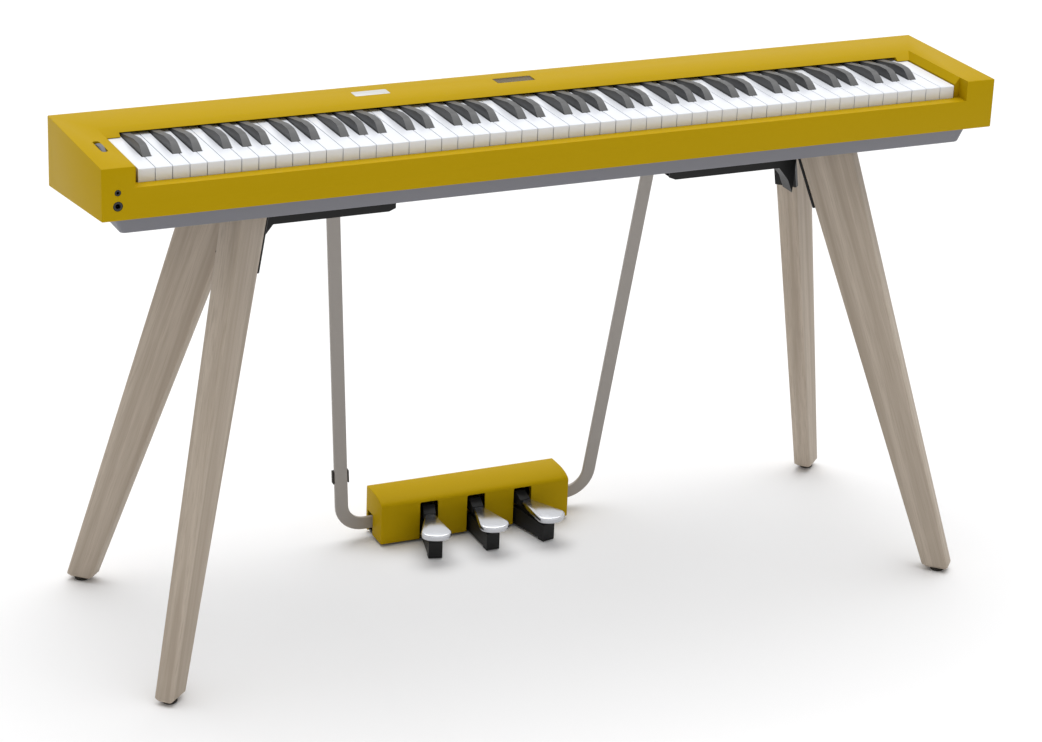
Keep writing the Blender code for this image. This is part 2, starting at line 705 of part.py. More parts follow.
def build_main_board():
    """Circuit board across two ribs of the key frame, with its raised components."""
    low = TRAY_FLOOR + 2 * SEAT_GAP + FRAME_SHEET
    x0, x1 = RIB_PLACES[1] - RIB_WIDTH / 2, RIB_PLACES[2] + RIB_WIDTH / 2
    y = FRONT + BOARD_RUN
    top = low + BOARD_THICKNESS
    board = box("main_board", (x0, x1), (y - BOARD_WIDTH / 2, y + BOARD_WIDTH / 2), (low, top), "board")
    middle = (x0 + x1) / 2
    parts = []
    for dx, dy, wide, deep, tall in ((-0.10, 0.02, 0.030, 0.030, 0.004), (-0.03, -0.02, 0.022, 0.022, 0.003),
                                     (0.06, 0.03, 0.040, 0.014, 0.009), (0.10, -0.03, 0.014, 0.040, 0.012)):
        parts.append(box("component", (middle + dx - wide / 2, middle + dx + wide / 2),
                         (y + dy - deep / 2, y + dy + deep / 2), (top - 0.0005, top + tall)))
    add(board, merged("components_tool", parts, "board"))


def oval(x, y, wide, deep, z, steps=28):
    turn = [2 * math.pi * i / steps for i in range(steps)]
    return [(x + wide / 2 * math.cos(a), y + deep / 2 * math.sin(a), z) for a in turn]


def build_speaker(word, side):
    """Oval driver facing down: rim, basket and magnet."""
    x, y = side * SPEAKER_X, FRONT + SPEAKER_RUN
    low = TRAY_FLOOR + SEAT_GAP
    wide, deep = SPEAKER_SIZE
    rim, basket = 0.003, SPEAKER_HEIGHT * 0.55
    magnet = 2 * MAGNET_RADIUS
    loops = [oval(x, y, wide, deep, low), oval(x, y, wide, deep, low + rim),
             oval(x, y, wide * 0.90, deep * 0.88, low + rim),
             oval(x, y, magnet * 1.05, magnet * 1.05, low + basket),
             oval(x, y, magnet * 1.05, magnet * 1.05, low + basket + 0.001),
             oval(x, y, magnet, magnet, low + basket + 0.001),
             oval(x, y, magnet, magnet, low + SPEAKER_HEIGHT)]
    rings("speaker_" + word, loops, "black_steel")


def build_jack(name, sink, radius, bore):
    """Headphone socket barrel, bored from its front."""
    z = BODY_TOP - sink
    front = FRONT + 0.0003
    jack = cylinder_y(name, JACK_X, z, radius, front, front + JACK_LENGTH, "black_steel", 24)
    cut(jack, cylinder_y(name + "_bore_tool", JACK_X, z, bore, front - 0.01, front + JACK_LENGTH * 0.8,
                         "grey", 16))


def build_rear_sockets():
    """Block of sockets set in the rear wall."""
    wide, tall = REAR_PLATE_SIZE
    z = BODY_TOP - REAR_PLATE_SINK
    gap = SEAT_GAP
    face = REAR - 0.001
    x = REAR_PLATE_X
    block = box("rear_socket_block", (x - wide / 2 + gap, x + wide / 2 - gap), (face - REAR_PLATE_DEPTH, face),
                (z - tall / 2 + gap, z + tall / 2 - gap), "black_steel")
    deep = face - REAR_PLATE_DEPTH + 0.002
    tools = [cylinder_y("socket", x + dx, z, LARGE_SOCKET_RADIUS, deep, REAR + 0.01, "grey", 16)
             for dx in REAR_SOCKETS]
    tools.append(cylinder_y("inlet", x + REAR_INLET_X, z, REAR_INLET_RADIUS, deep, REAR + 0.01, "grey", 16))
    port_wide, port_tall = REAR_PORT
    port = x + REAR_PORT_X
    tools.append(box("port", (port - port_wide / 2, port + port_wide / 2), (deep, REAR + 0.01),
                     (z - port_tall / 2, z + port_tall / 2)))
    cut(block, merged("rear_sockets_tool", tools))


# Pitch wheel

def wheel_centre_z():
    return BODY_TOP + WHEEL_PROUD - WHEEL_RADIUS


def wheel_axle_ends():
    outer = -BODY_WIDTH / 2 + CASE_WALL - AXLE_SEAT_DEPTH
    inner = -WELL_WIDTH / 2 - CASE_WALL + AXLE_SEAT_DEPTH
    return outer, inner


def build_pitch_wheel():
    """Thumb wheel with a crowned rim, a finger dimple and a bore for its axle."""
    y, z = FRONT + WHEEL_RUN, wheel_centre_z()
    pivot = (WHEEL_X, y, z)
    half = WHEEL_WIDTH / 2
    stations = ((-half, WHEEL_RADIUS - 0.0012), (-half * 0.6, WHEEL_RADIUS), (half * 0.6, WHEEL_RADIUS),
                (half, WHEEL_RADIUS - 0.0012))
    steps = 40
    loops = [[(WHEEL_X + dx, py, pz) for py, pz in circle((y, z), radius, steps)] for dx, radius in stations]
    wheel = rings("pitch_wheel", loops, "grey", pivot)
    cut(wheel, cylinder_x("wheel_bore_tool", y, z, WHEEL_AXLE_RADIUS + WHEEL_BORE_PLAY, WHEEL_X - 0.01,
                          WHEEL_X + 0.01, "grey", 16))
    cut(wheel, cylinder_x("wheel_dimple_tool", y, z + WHEEL_RADIUS + 0.0052, 0.0065, WHEEL_X - 0.01,
                          WHEEL_X + 0.01, "grey", 20))
    smooth(wheel)
    x0, x1 = wheel_axle_ends()
    axle = cylinder_x("pitch_wheel_axle", y, z, WHEEL_AXLE_RADIUS, x0, x1, "nickel", 16)
    smooth(axle)


# Stand

def leg_frame(sx, sy):
    """Unit vectors along and across a leg's section."""
    a = math.radians(LEG_TURN)
    along = Vector((sx * math.cos(a), sy * math.sin(a), 0.0))
    across = Vector((-sx * math.sin(a), sy * math.cos(a), 0.0))
    return along, across


def leg_loop(sx, sy, z, grow=0.0, start=0.0):
    """Section of a leg at one height; its axis and sides run straight from top to foot."""
    share = (LEG_TOP - z) / LEG_TOP
    centre = Vector((sx * (LEG_TOP_CENTRE[0] + (LEG_FOOT_CENTRE[0] - LEG_TOP_CENTRE[0]) * share),
                     sy * (LEG_TOP_CENTRE[1] + (LEG_FOOT_CENTRE[1] - LEG_TOP_CENTRE[1]) * share), z))
    long = (LEG_TOP_SECTION[0] + (LEG_FOOT_SECTION[0] - LEG_TOP_SECTION[0]) * share) / 2 + grow
    short = (LEG_TOP_SECTION[1] + (LEG_FOOT_SECTION[1] - LEG_TOP_SECTION[1]) * share) / 2 + grow
    along, across = leg_frame(sx, sy)
    return [centre + along * long * a + across * short * b for a, b in ((-1, -1), (1, -1), (1, 1), (-1, 1))]


def leg_words():
    return (("front_left", -1, -1), ("front_right", 1, -1), ("rear_left", -1, 1), ("rear_right", 1, 1))


def build_legs():
    foot = GLIDE_HEIGHT + SEAT_GAP
    for word, sx, sy in leg_words():
        loops = [leg_loop(sx, sy, foot, -LEG_FOOT_CHAMFER), leg_loop(sx, sy, foot + LEG_FOOT_CHAMFER),
                 leg_loop(sx, sy, LEG_TOP)]
        leg = rings("leg_" + word, loops, "oak")
        soften(leg, LEG_EDGE_ROUND, 2, 50.0)
        corners = leg_loop(sx, sy, foot)
        middle = sum(corners, Vector()) / 4
        outline = circle((middle.x, middle.y), GLIDE_RADIUS, 20)
        narrow = circle((middle.x, middle.y), GLIDE_RADIUS - 0.0012, 20)
        glide = rings("glide_" + word, [[(x, y, 0.0) for x, y in narrow],
                                        [(x, y, 0.0012) for x, y in outline],
                                        [(x, y, GLIDE_HEIGHT) for x, y in outline]], "rubber")
        smooth(glide)


def wing_tool(word, sx, sy):
    """Plate that lies on a leg's narrow inner side, before the leg's own room is cut from it."""
    along, across = leg_frame(sx, sy)
    top = Vector((sx * LEG_TOP_CENTRE[0], sy * LEG_TOP_CENTRE[1], LEG_TOP))
    foot = Vector((sx * LEG_FOOT_CENTRE[0], sy * LEG_FOOT_CENTRE[1], 0.0))
    low = LEG_TOP - WING_DROP
    inner = [(LEG_TOP_SECTION[0] + (LEG_FOOT_SECTION[0] - LEG_TOP_SECTION[0]) * s) / 2
             for s in (0.0, WING_DROP / LEG_TOP)]
    shift = (foot - top).dot(along) * WING_DROP / LEG_TOP
    skin = BRACKET_SHEET + SEAT_GAP
    outline = [(-inner[0] - skin, LEG_TOP), (-inner[0] + WING_INSET, LEG_TOP),
               (shift - inner[1] + WING_INSET, low), (shift - inner[1] - skin, low)]
    half = LEG_TOP_SECTION[1] / 2
    loops = [[top + along * r + across * side * half + Vector((0, 0, z - LEG_TOP)) for r, z in outline]
             for side in (-1, 1)]
    return rings("wing_tool_" + word, loops, "black_steel")


def build_bracket(word, sx):
    """Steel bracket under one end: a channel spine, a flange and two plates that hold the legs."""
    top = LEG_TOP
    low = top - SPINE_HEIGHT
    half = SPINE_WIDTH / 2
    nose = 0.010
    inner, outer = SPINE_INNER_X, SPINE_OUTER_X
    side = [(inner, top), (inner, low + 0.004), (inner + nose, low), (outer, low),
            (outer + 0.016, low - 0.020), (outer + 0.024, low - 0.040), (outer + 0.030, top)]
    loops = [[(sx * x, y, z) for x, z in side] for y in (-half, half)]
    bracket = rings("leg_bracket_" + word, loops, "black_steel")
    for name, mx, my in leg_words():
        if mx == sx:
            add(bracket, wing_tool(name, mx, my))
    x0, x1 = sorted((sx * (inner + 0.004), sx * (outer + 0.010)))
    add(bracket, box("flange_tool_" + word, (x0, x1), (-FLANGE_WIDTH / 2, FLANGE_WIDTH / 2),
                     (top - BRACKET_SHEET, top - 0.00005), "black_steel"))
    for name, mx, my in leg_words():
        if mx == sx:
            grown = [leg_loop(mx, my, z, SEAT_GAP) for z in (top - WING_DROP * 1.5, top + 0.01)]
            cut(bracket, rings("leg_tool_" + name, grown, "grey"))
    x0, x1 = sorted((sx * (inner - 0.01), sx * (outer - 0.004)))
    wall = SPINE_WALL
    cut(bracket, box("spine_hollow_tool_" + word, (x0, x1), (-half + wall, half - wall),
                     (low + wall, top - wall)))


# Pedal unit

def box_profile(inset, low):
    """Side profile of the pedal cover: upright front under a broad rounded brow."""
    run, drop = BOX_BROW
    centre_y, centre_z = BOX_FRONT + run, BOX_TOP - drop
    brow = []
    for i in range(ARC_STEPS + 1):
        a = math.radians(180 - 90 * i / ARC_STEPS)
        brow.append((centre_y + (run - inset) * math.cos(a), centre_z + (drop - inset) * math.sin(a)))
    return [(BOX_REAR - inset, low), (BOX_FRONT + inset, low)] + brow + [(BOX_REAR - inset, BOX_TOP - inset)]


def build_pedal_box():
    half = BOX_LENGTH / 2
    cover = prism_x("pedal_box", box_profile(0.0, BOX_BOTTOM), -half, half, "mustard")
    soften(cover, EDGE_ROUND, 2, 50.0)
    hollow = prism_x("box_hollow_tool", box_profile(BOX_WALL, BOX_BOTTOM - 0.01), -half + BOX_WALL,
                     half - BOX_WALL, "grey")
    cut(cover, hollow)
    slots = []
    for place in (-1, 0, 1):
        x = place * PEDAL_PITCH
        outline = [(x - SLOT_WIDTH / 2, BOX_BOTTOM - 0.01), (x + SLOT_WIDTH / 2, BOX_BOTTOM - 0.01)]
        outline += arc((x + SLOT_WIDTH / 2 - 0.003, SLOT_TOP - 0.003), 0.003, 0, 90, 3)
        outline += arc((x - SLOT_WIDTH / 2 + 0.003, SLOT_TOP - 0.003), 0.003, 90, 180, 3)
        loops = [[(px, y, pz) for px, pz in outline] for y in (BOX_FRONT - 0.01, BOX_FRONT + BOX_WALL + 0.003)]
        slots.append(rings("slot", loops, "grey"))
    cut(cover, merged("pedal_slots_tool", slots))
    notches = [box("notch", tuple(sorted((side * (half - 0.012), side * (half + 0.01)))),
                   (NOTCH_FRONT, BOX_REAR - 0.006), (BOX_BOTTOM - 0.01, NOTCH_TOP)) for side in (-1, 1)]
    cut(cover, merged("arm_notches_tool", notches))


def pedal_point(place, forward, across, z):
    """Point in a pedal's own turned frame: forward of the axle line, across its own line."""
    slant = math.radians(PEDAL_SLANT) * place
    face = AXLE_Y - BOX_FRONT
    run = forward - face
    x = place * PEDAL_PITCH + across * math.cos(slant) + run * math.sin(slant)
    y = BOX_FRONT - run * math.cos(slant) + across * math.sin(slant)
    return (x, y, z)


def pedal_slab(name, place, outline, width, look, pivot=(0.0, 0.0, 0.0)):
    """Extrude a (forward, z) outline across a pedal's own line."""
    loops = [[pedal_point(place, f, side * width / 2, z) for f, z in outline] for side in (-1, 1)]
    return rings(name, loops, look, pivot)


def build_pedal(word, place):
    """Lever with its hub on the axle and a wide nickel pad on its front."""
    pivot = (place * PEDAL_PITCH, AXLE_Y, AXLE_Z)
    under = PAD_TOP - PAD_THICKNESS - SEAT_GAP
    web = [(LEVER_FRONT, under), (0.040, under), (0.040, LEVER_BOTTOM), (LEVER_FRONT, LEVER_BOTTOM)]
    cap = [(PAD_START - SEAT_GAP, under - 0.0003), (PAD_START - SEAT_GAP, PAD_TOP), (0.040, 0.0560),
           (0.004, 0.0490), (0.004, 0.0385), (0.030, under - 0.0003)]
    x = place * PEDAL_PITCH
    hub_half = 0.011
    lever = cylinder_x("pedal_lever_" + word, AXLE_Y, AXLE_Z, HUB_RADIUS, x - hub_half, x + hub_half,
                       "black_steel", 24, pivot)
    add(lever, pedal_slab("cap_tool_" + word, place, cap, LEVER_CAP_WIDTH, "black_steel"))
    add(lever, pedal_slab("web_tool_" + word, place, web, LEVER_WEB_WIDTH, "black_steel"))
    cut(lever, cylinder_x("lever_bore_tool_" + word, AXLE_Y, AXLE_Z, AXLE_RADIUS + AXLE_PLAY, x - 0.03,
                          x + 0.03, "grey", 24))

    half, neck = PAD_WIDTH / 2, PAD_NECK_WIDTH / 2
    shoulder = PAD_TIP - PAD_TIP_ROUND
    outline = [(PAD_START, -neck)]
    for i in range(13):
        a = math.radians(-90 + 180 * i / 12)
        outline.append((shoulder + PAD_TIP_ROUND * math.cos(a), half * math.sin(a)))
    outline.append((PAD_START, neck))
    loops = [[pedal_point(place, f, a, z) for f, a in outline] for z in (PAD_TOP - PAD_THICKNESS, PAD_TOP)]
    pad = rings("pedal_pad_" + word, loops, "nickel", pivot)
    soften(pad, PAD_EDGE_ROUND, 3, 45.0)


def arm_front(z):
    """Y just in front of the arms' leaning front face, where the base's lugs are screwed to them."""
    lean = math.sqrt(1 + ARM_LEAN ** 2)
    return ARM_FOOT_Y - ARM_LEAN * (z - ARM_FOOT_Z) - ARM_THICKNESS / 2 * lean - SEAT_GAP


def build_pedal_base():
    """Floor of the pedal unit with a channel and foot under each pedal and ears for the axle."""
    gap = SEAT_GAP
    half = BOX_LENGTH / 2 - BOX_WALL - gap
    y0, y1 = BOX_FRONT + BOX_WALL + gap, BOX_REAR - BOX_WALL - gap
    low, top = BOX_BOTTOM, BOX_BOTTOM + BASE_THICKNESS
    base = box("pedal_base", (-half, half), (y0, y1), (low, top), "black_steel")
    face = AXLE_Y - BOX_FRONT
    channels, hollows = [], []
    for place in (-1, 0, 1):
        outline = [(face - 0.014, low + 0.0004), (CHANNEL_FRONT - FOOT_LENGTH, low + 0.0004),
                   (CHANNEL_FRONT - FOOT_LENGTH, FOOT_CLEARANCE), (CHANNEL_FRONT, FOOT_CLEARANCE),
                   (CHANNEL_FRONT, CHANNEL_TOP_FRONT), (face - 0.014, CHANNEL_TOP_REAR)]
        channels.append(pedal_slab("channel", place, outline, CHANNEL_WIDTH, "black_steel"))
        inner = CHANNEL_WIDTH - 2 * CHANNEL_WALL
        outline = [(face - 0.030, low + 0.006), (CHANNEL_FRONT - FOOT_LENGTH, low + 0.006),
                   (CHANNEL_FRONT - FOOT_LENGTH, CHANNEL_TOP_REAR + 0.01), (face - 0.030, CHANNEL_TOP_REAR + 0.01)]
        hollows.append(pedal_slab("hollow", place, outline, inner, "grey"))
    add(base, merged("channels_tool", channels, "black_steel"))
    cut(base, merged("channel_hollows_tool", hollows))
    ears = []
    for x in EAR_PLACES:
        outline = [(AXLE_Y + 0.009, top - 0.0004), (AXLE_Y - 0.009, top - 0.0004), (AXLE_Y - 0.0065, AXLE_Z)]
        outline += arc((AXLE_Y, AXLE_Z), 0.0065, 180, 0, 8)[1:]
        ears.append(prism_x("ear", outline, x - EAR_THICKNESS / 2, x + EAR_THICKNESS / 2, "black_steel"))
    lug_low, lug_high = top - 0.0004, NOTCH_TOP - 0.004
    lug = [(arm_front(lug_low) - LUG_THICKNESS, lug_low), (arm_front(lug_low), lug_low),
           (arm_front(lug_high), lug_high), (arm_front(lug_high) - LUG_THICKNESS, lug_high)]
    for side in (-1, 1):
        ears.append(prism_x("lug", lug, *sorted((side * ARM_END_X, side * (half - 0.002))), "black_steel"))
    add(base, merged("ears_tool", ears, "black_steel"))
    cut(base, cylinder_x("ear_bore_tool", AXLE_Y, AXLE_Z, AXLE_RADIUS + AXLE_PLAY, -0.2, 0.2, "grey", 24))
    axle = cylinder_x("pedal_axle", AXLE_Y, AXLE_Z, AXLE_RADIUS, -AXLE_LENGTH / 2, AXLE_LENGTH / 2,
                      "warm_steel", 24)
    smooth(axle)


def arm_place(x, drop, depth, side):
    """Bend the arm's flat strip over the top bend; depth is out of the strip towards the rear."""
    lean = math.atan(ARM_LEAN)
    top_z = CHASSIS_BOTTOM - SEAT_GAP - ARM_THICKNESS / 2
    line_y = ARM_FOOT_Y - ARM_LEAN * (top_z - ARM_FOOT_Z)
    radius = ARM_TOP_BEND
    turn = math.pi / 2 - lean
    tangent = radius * math.tan(turn / 2)
    length = radius * turn
    down = Vector((0.0, math.sin(lean), -math.cos(lean)))
    out = Vector((0.0, math.cos(lean), math.sin(lean)))
    corner = Vector((0.0, line_y, top_z))
    if drop >= tangent:
        spot = corner + down * drop + out * depth
    else:
        back = tangent - drop
        centre = corner + down * tangent - out * radius
        if back <= length:
            a = back / radius
            normal = out * math.cos(a) - down * math.sin(a)
            spot = centre + normal * (radius + depth)
        else:
            spot = Vector((0.0, line_y - tangent - (back - length), top_z)) + Vector((0, 0, depth))
    return (side * x, spot.y, spot.z)


def arm_stations():
    """(x, drop, direction) along the strip from its tab to its end in the pedal box."""
    lean = math.sqrt(1 + ARM_LEAN ** 2)
    top_z = CHASSIS_BOTTOM - SEAT_GAP - ARM_THICKNESS / 2
    end = (top_z - ARM_FOOT_Z) * lean
    angle = math.atan(ARM_SLOPE / lean)
    corner = ARM_TOP_X - math.tan(angle) * end
    tangent = ARM_BEND * math.tan((math.pi / 2 - angle) / 2)
    bend_start = end - math.cos(angle) * tangent
    turn_top = math.pi / 2 - math.atan(ARM_LEAN)
    top_tangent = ARM_TOP_BEND * math.tan(turn_top / 2)
    top_length = ARM_TOP_BEND * turn_top
    stations = []
    drops = [top_tangent - top_length - ARM_TAB, top_tangent - top_length]
    drops += [top_tangent - top_length * (1 - i / 6) for i in range(1, 7)]
    drops.append(bend_start)
    for drop in drops:
        x = ARM_TOP_X - math.tan(angle) * max(drop, 0.0)
        stations.append((x, drop, angle if drop > top_tangent else 0.0))
    centre = (corner + math.sin(angle) * tangent - ARM_BEND * math.cos(angle),
              bend_start - ARM_BEND * math.sin(angle))
    steps = 10
    for i in range(1, steps + 1):
        heading = angle + (math.pi / 2 - angle) * i / steps
        stations.append((centre[0] + ARM_BEND * math.cos(heading), centre[1] + ARM_BEND * math.sin(heading),
                         heading))
    stations.append((ARM_END_X, stations[-1][1], math.pi / 2))
    return stations


def build_arm(word, side):
    """Flat steel bar folded under the chassis at its top and bent into the pedal box."""
    half, depth = ARM_WIDTH / 2, ARM_THICKNESS / 2
    loops = []
    for x, drop, heading in arm_stations():
        ox, od = math.cos(heading) * half, math.sin(heading) * half
        corners = ((x + ox, drop + od, depth), (x - ox, drop - od, depth),
                   (x - ox, drop - od, -depth), (x + ox, drop + od, -depth))
        loops.append([arm_place(*corner, side) for corner in corners])
    rings("pedal_arm_" + word, loops, "warm_steel")


def build_cable_clip():
    """Sprung clip behind the left arm with a lip round each of its edges."""
    lean = math.sqrt(1 + ARM_LEAN ** 2)
    top_z = CHASSIS_BOTTOM - SEAT_GAP - ARM_THICKNESS / 2
    angle = math.atan(ARM_SLOPE / lean)
    gap = SEAT_GAP
    inner = ARM_WIDTH / 2 / math.cos(angle) + gap
    depth = ARM_THICKNESS / 2
    wall = CLIP_WALL
    section = [(-inner - wall, -depth), (-inner - wall, depth + gap + wall), (inner + wall, depth + gap + wall),
               (inner + wall, -depth), (inner, -depth), (inner, depth + gap), (-inner, depth + gap),
               (-inner, -depth)]
    loops = []
    for z in (CLIP_HEIGHT + CLIP_LENGTH / 2, CLIP_HEIGHT - CLIP_LENGTH / 2):
        drop = (top_z - z) * lean
        x = ARM_TOP_X - math.tan(angle) * drop
        loops.append([arm_place(x + dx, drop, dz, -1) for dx, dz in section])
    rings("cable_clip", loops, "rubber")


def build_piano():
    clear_scene()
    build_upper_case()
    build_lower_case()
    build_keys()
    build_key_frame()
    build_hinge_rail()
    build_stop_felt()
    build_display()
    build_main_board()
    build_speaker("left", -1)
    build_speaker("right", 1)
    build_jack("headphone_jack_large", LARGE_JACK_SINK, LARGE_JACK_RADIUS, LARGE_SOCKET_RADIUS)
    build_jack("headphone_jack_small", SMALL_JACK_SINK, SMALL_JACK_RADIUS, SMALL_SOCKET_RADIUS)
    build_rear_sockets()
    build_pitch_wheel()
    build_legs()
    build_bracket("left", -1)
    build_bracket("right", 1)
    build_pedal_box()
    for word, place in (("left", -1), ("centre", 0), ("right", 1)):
        build_pedal(word, place)
    build_pedal_base()
    build_arm("left", -1)
    build_arm("right", 1)
    build_cable_clip()


build_piano()
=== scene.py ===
import math

import bmesh
import bpy
from bpy.props import FloatProperty, FloatVectorProperty, IntProperty, PointerProperty
from mathutils import Matrix, Vector


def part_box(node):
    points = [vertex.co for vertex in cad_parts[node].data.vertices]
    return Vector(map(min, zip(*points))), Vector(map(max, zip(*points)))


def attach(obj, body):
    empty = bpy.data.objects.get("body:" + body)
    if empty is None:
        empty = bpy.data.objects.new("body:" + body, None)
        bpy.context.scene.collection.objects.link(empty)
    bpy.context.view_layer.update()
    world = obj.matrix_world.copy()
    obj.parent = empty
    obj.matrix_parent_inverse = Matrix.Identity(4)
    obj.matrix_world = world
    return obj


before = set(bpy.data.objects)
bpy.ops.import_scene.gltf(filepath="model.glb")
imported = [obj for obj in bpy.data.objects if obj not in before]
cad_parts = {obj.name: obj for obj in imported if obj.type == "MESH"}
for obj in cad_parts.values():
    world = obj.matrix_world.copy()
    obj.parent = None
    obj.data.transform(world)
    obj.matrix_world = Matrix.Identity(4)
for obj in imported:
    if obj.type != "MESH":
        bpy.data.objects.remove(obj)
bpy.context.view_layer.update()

bl_info = {
    "name": "Slab piano looks",
    "version": (1, 0, 0),
    "blender": (4, 5, 0),
    "location": "3D View > Sidebar > Piano",
    "description": "Finishes, small fittings, lights and camera for a slab digital piano",
    "category": "Object",
}

# Places read from the frame
CASE_LOW, CASE_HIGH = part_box("upper_case")
TRAY_LOW, TRAY_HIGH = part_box("lower_case")
DISPLAY_LOW, DISPLAY_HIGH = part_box("display_window")
BOX_LOW, BOX_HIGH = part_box("pedal_box")
BODY_TOP = CASE_HIGH.z
UNDERSIDE = TRAY_LOW.z

# Places of the small fittings
LABEL_SHARE = 0.3254            # of the half width, left of the middle
LABEL_HEIGHT = 0.0004
LABEL_CORNER = 0.0018
SEAT = 0.00005                  # a screw's rim sits this deep in the face
RING_SEAT = 0.0001              # a ring's or grille's base sits this deep in the face
TRAY_SCREW_SPACING = 0.280
TRAY_SCREW_FRONT = 0.045        # from the tray's front edge
TRAY_SCREW_REAR = 0.026         # from the tray's rear edge
FLANGE_DEPTH = 0.003            # underside of a bracket's flange, under its top
FLANGE_BOLT_RUNS = (0.022, 0.085, 0.148)
FLANGE_BOLT_SIDE = 0.024
TAB_DEPTH = 0.005               # underside of an arm's lug, under its top
TAB_SCREW_RUNS = (0.012, 0.038)
TAB_MIDDLE = 0.0103             # from the bar's edge to the lug's middle
BOX_SCREW_X = 0.132
BOX_SCREW_HEIGHT = 0.040
BOX_LOW_SCREW_SHARE = 0.35      # of the outer screws' place, for the lower pair
BOX_LOW_SCREW_HEIGHT = 0.012
PLATE_ANGLE = 43.0              # degrees from +X to a leg's long side, across which the plates lie
PLATE_REACH = 0.0034            # from a leg's inner face to just over its plate's outer face
PLATE_BOLTS = ((0.030, 0.0400), (0.070, 0.0387))    # drop below the leg's top, half its section there
REAR_RING_SHIFTS = (-0.085, -0.060, -0.035)
GRILLE_HEIGHT = 0.0004
FLOOR_RADIUS = 30.0

# The photograph's viewpoint
CAMERA_PLACE = (-1.7750, -3.7658, 2.0107)
CAMERA_TURN, CAMERA_LIFT, CAMERA_ROLL = -25.1783, 22.0546, 2.2937
SENSOR_WIDTH = 36.0


def middle(node):
    low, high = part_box(node)
    return (low + high) / 2


# Sizes and colours that a user would change

class PianoFinishes(bpy.types.PropertyGroup):
    shell: FloatVectorProperty(name="Shell", description="Mustard of the shell and the pedal box",
                               subtype='COLOR', default=(0.490, 0.318, 0.000), min=0, max=1)
    tray: FloatVectorProperty(name="Tray", description="Grey of the lower case",
                              subtype='COLOR', default=(0.175, 0.175, 0.195), min=0, max=1)
    oak: FloatVectorProperty(name="Oak", description="Light tone of the greyed oak",
                             subtype='COLOR', default=(0.550, 0.468, 0.380), min=0, max=1)
    oak_dark: FloatVectorProperty(name="Oak grain", description="Dark tone of the oak's grain",
                                  subtype='COLOR', default=(0.395, 0.326, 0.255), min=0, max=1)
    white_key: FloatVectorProperty(name="White keys", description="White key tops",
                                   subtype='COLOR', default=(0.860, 0.885, 0.940), min=0, max=1)
    black_key: FloatVectorProperty(name="Black keys", description="Black key caps",
                                   subtype='COLOR', default=(0.045, 0.046, 0.048), min=0, max=1)
    steel: FloatVectorProperty(name="Coated steel", description="Black coat of brackets and pedal base",
                               subtype='COLOR', default=(0.010, 0.010, 0.010), min=0, max=1)
    bar: FloatVectorProperty(name="Arm bars", description="Warm grey coat of the pedal arms",
                             subtype='COLOR', default=(0.350, 0.320, 0.292), min=0, max=1)
    nickel: FloatVectorProperty(name="Nickel", description="Plated pedal pads",
                                subtype='COLOR', default=(0.600, 0.610, 0.640), min=0, max=1)


class PianoDetails(bpy.types.PropertyGroup):
    screw: FloatProperty(name="Screw head", description="Radius of a case screw's head",
                         default=0.0038, min=0.002, max=0.008, unit='LENGTH')
    bolt: FloatProperty(name="Bolt head", description="Radius of a leg bolt's head",
                        default=0.0062, min=0.003, max=0.012, unit='LENGTH')
    label_width: FloatProperty(name="Label width", description="Width of the blank silver inlay",
                               default=0.052, min=0.01, max=0.1, unit='LENGTH')
    label_depth: FloatProperty(name="Label depth", description="Depth of the blank silver inlay",
                               default=0.020, min=0.005, max=0.05, unit='LENGTH')
    grille_slots: IntProperty(name="Grille slots", description="Slots in each speaker grille",
                              default=17, min=3, max=40)


class PianoStage(bpy.types.PropertyGroup):
    floor: FloatVectorProperty(name="Floor", description="Colour of the plain floor",
                               subtype='COLOR', default=(0.960, 0.960, 0.965), min=0, max=1)
    sky: FloatProperty(name="Soft light", description="Strength of the even light all round",
                       default=0.40, min=0, max=2)
    overhead: FloatProperty(name="Overhead light", description="Strength of the soft light from above",
                            default=2.45, min=0, max=10)
    lens: FloatProperty(name="Lens", description="Focal length on a 36 mm sensor, in millimetres",
                        default=107.30, min=10, max=300)


# Shared shader groups

def socket(group, name, kind, way, value=None):
    made = group.interface.new_socket(name, in_out=way, socket_type=kind)
    if value is not None:
        made.default_value = value
    return made


def start_group(name, inputs, outputs):
    """A node group with its named inputs and outputs, or None if it is there already."""
    if name in bpy.data.node_groups:
        return None
    group = bpy.data.node_groups.new(name, 'ShaderNodeTree')
    for label, kind, value in inputs:
        socket(group, label, kind, 'INPUT', value)
    for label, kind in outputs:
        socket(group, label, kind, 'OUTPUT')
    return group


def put(tree, kind, **inputs):
    node = tree.nodes.new(kind)
    for name, value in inputs.items():
        key = name.replace("_", " ")
        if isinstance(value, bpy.types.NodeSocket):
            tree.links.new(value, node.inputs[key])
        else:
            node.inputs[key].default_value = value
    return node


def math_node(tree, operation, a, b=0.0, c=None):
    node = tree.nodes.new('ShaderNodeMath')
    node.operation = operation
    for index, value in enumerate((a, b) if c is None else (a, b, c)):
        if isinstance(value, bpy.types.NodeSocket):
            tree.links.new(value, node.inputs[index])
        else:
            node.inputs[index].default_value = value
    return node.outputs[0]


def mix_colour(tree, share, low, high):
    node = tree.nodes.new('ShaderNodeMix')
    node.data_type = 'RGBA'
    for key, value in ((0, share), (6, low), (7, high)):
        if isinstance(value, bpy.types.NodeSocket):
            tree.links.new(value, node.inputs[key])
        else:
            node.inputs[key].default_value = value
    return node.outputs[2]


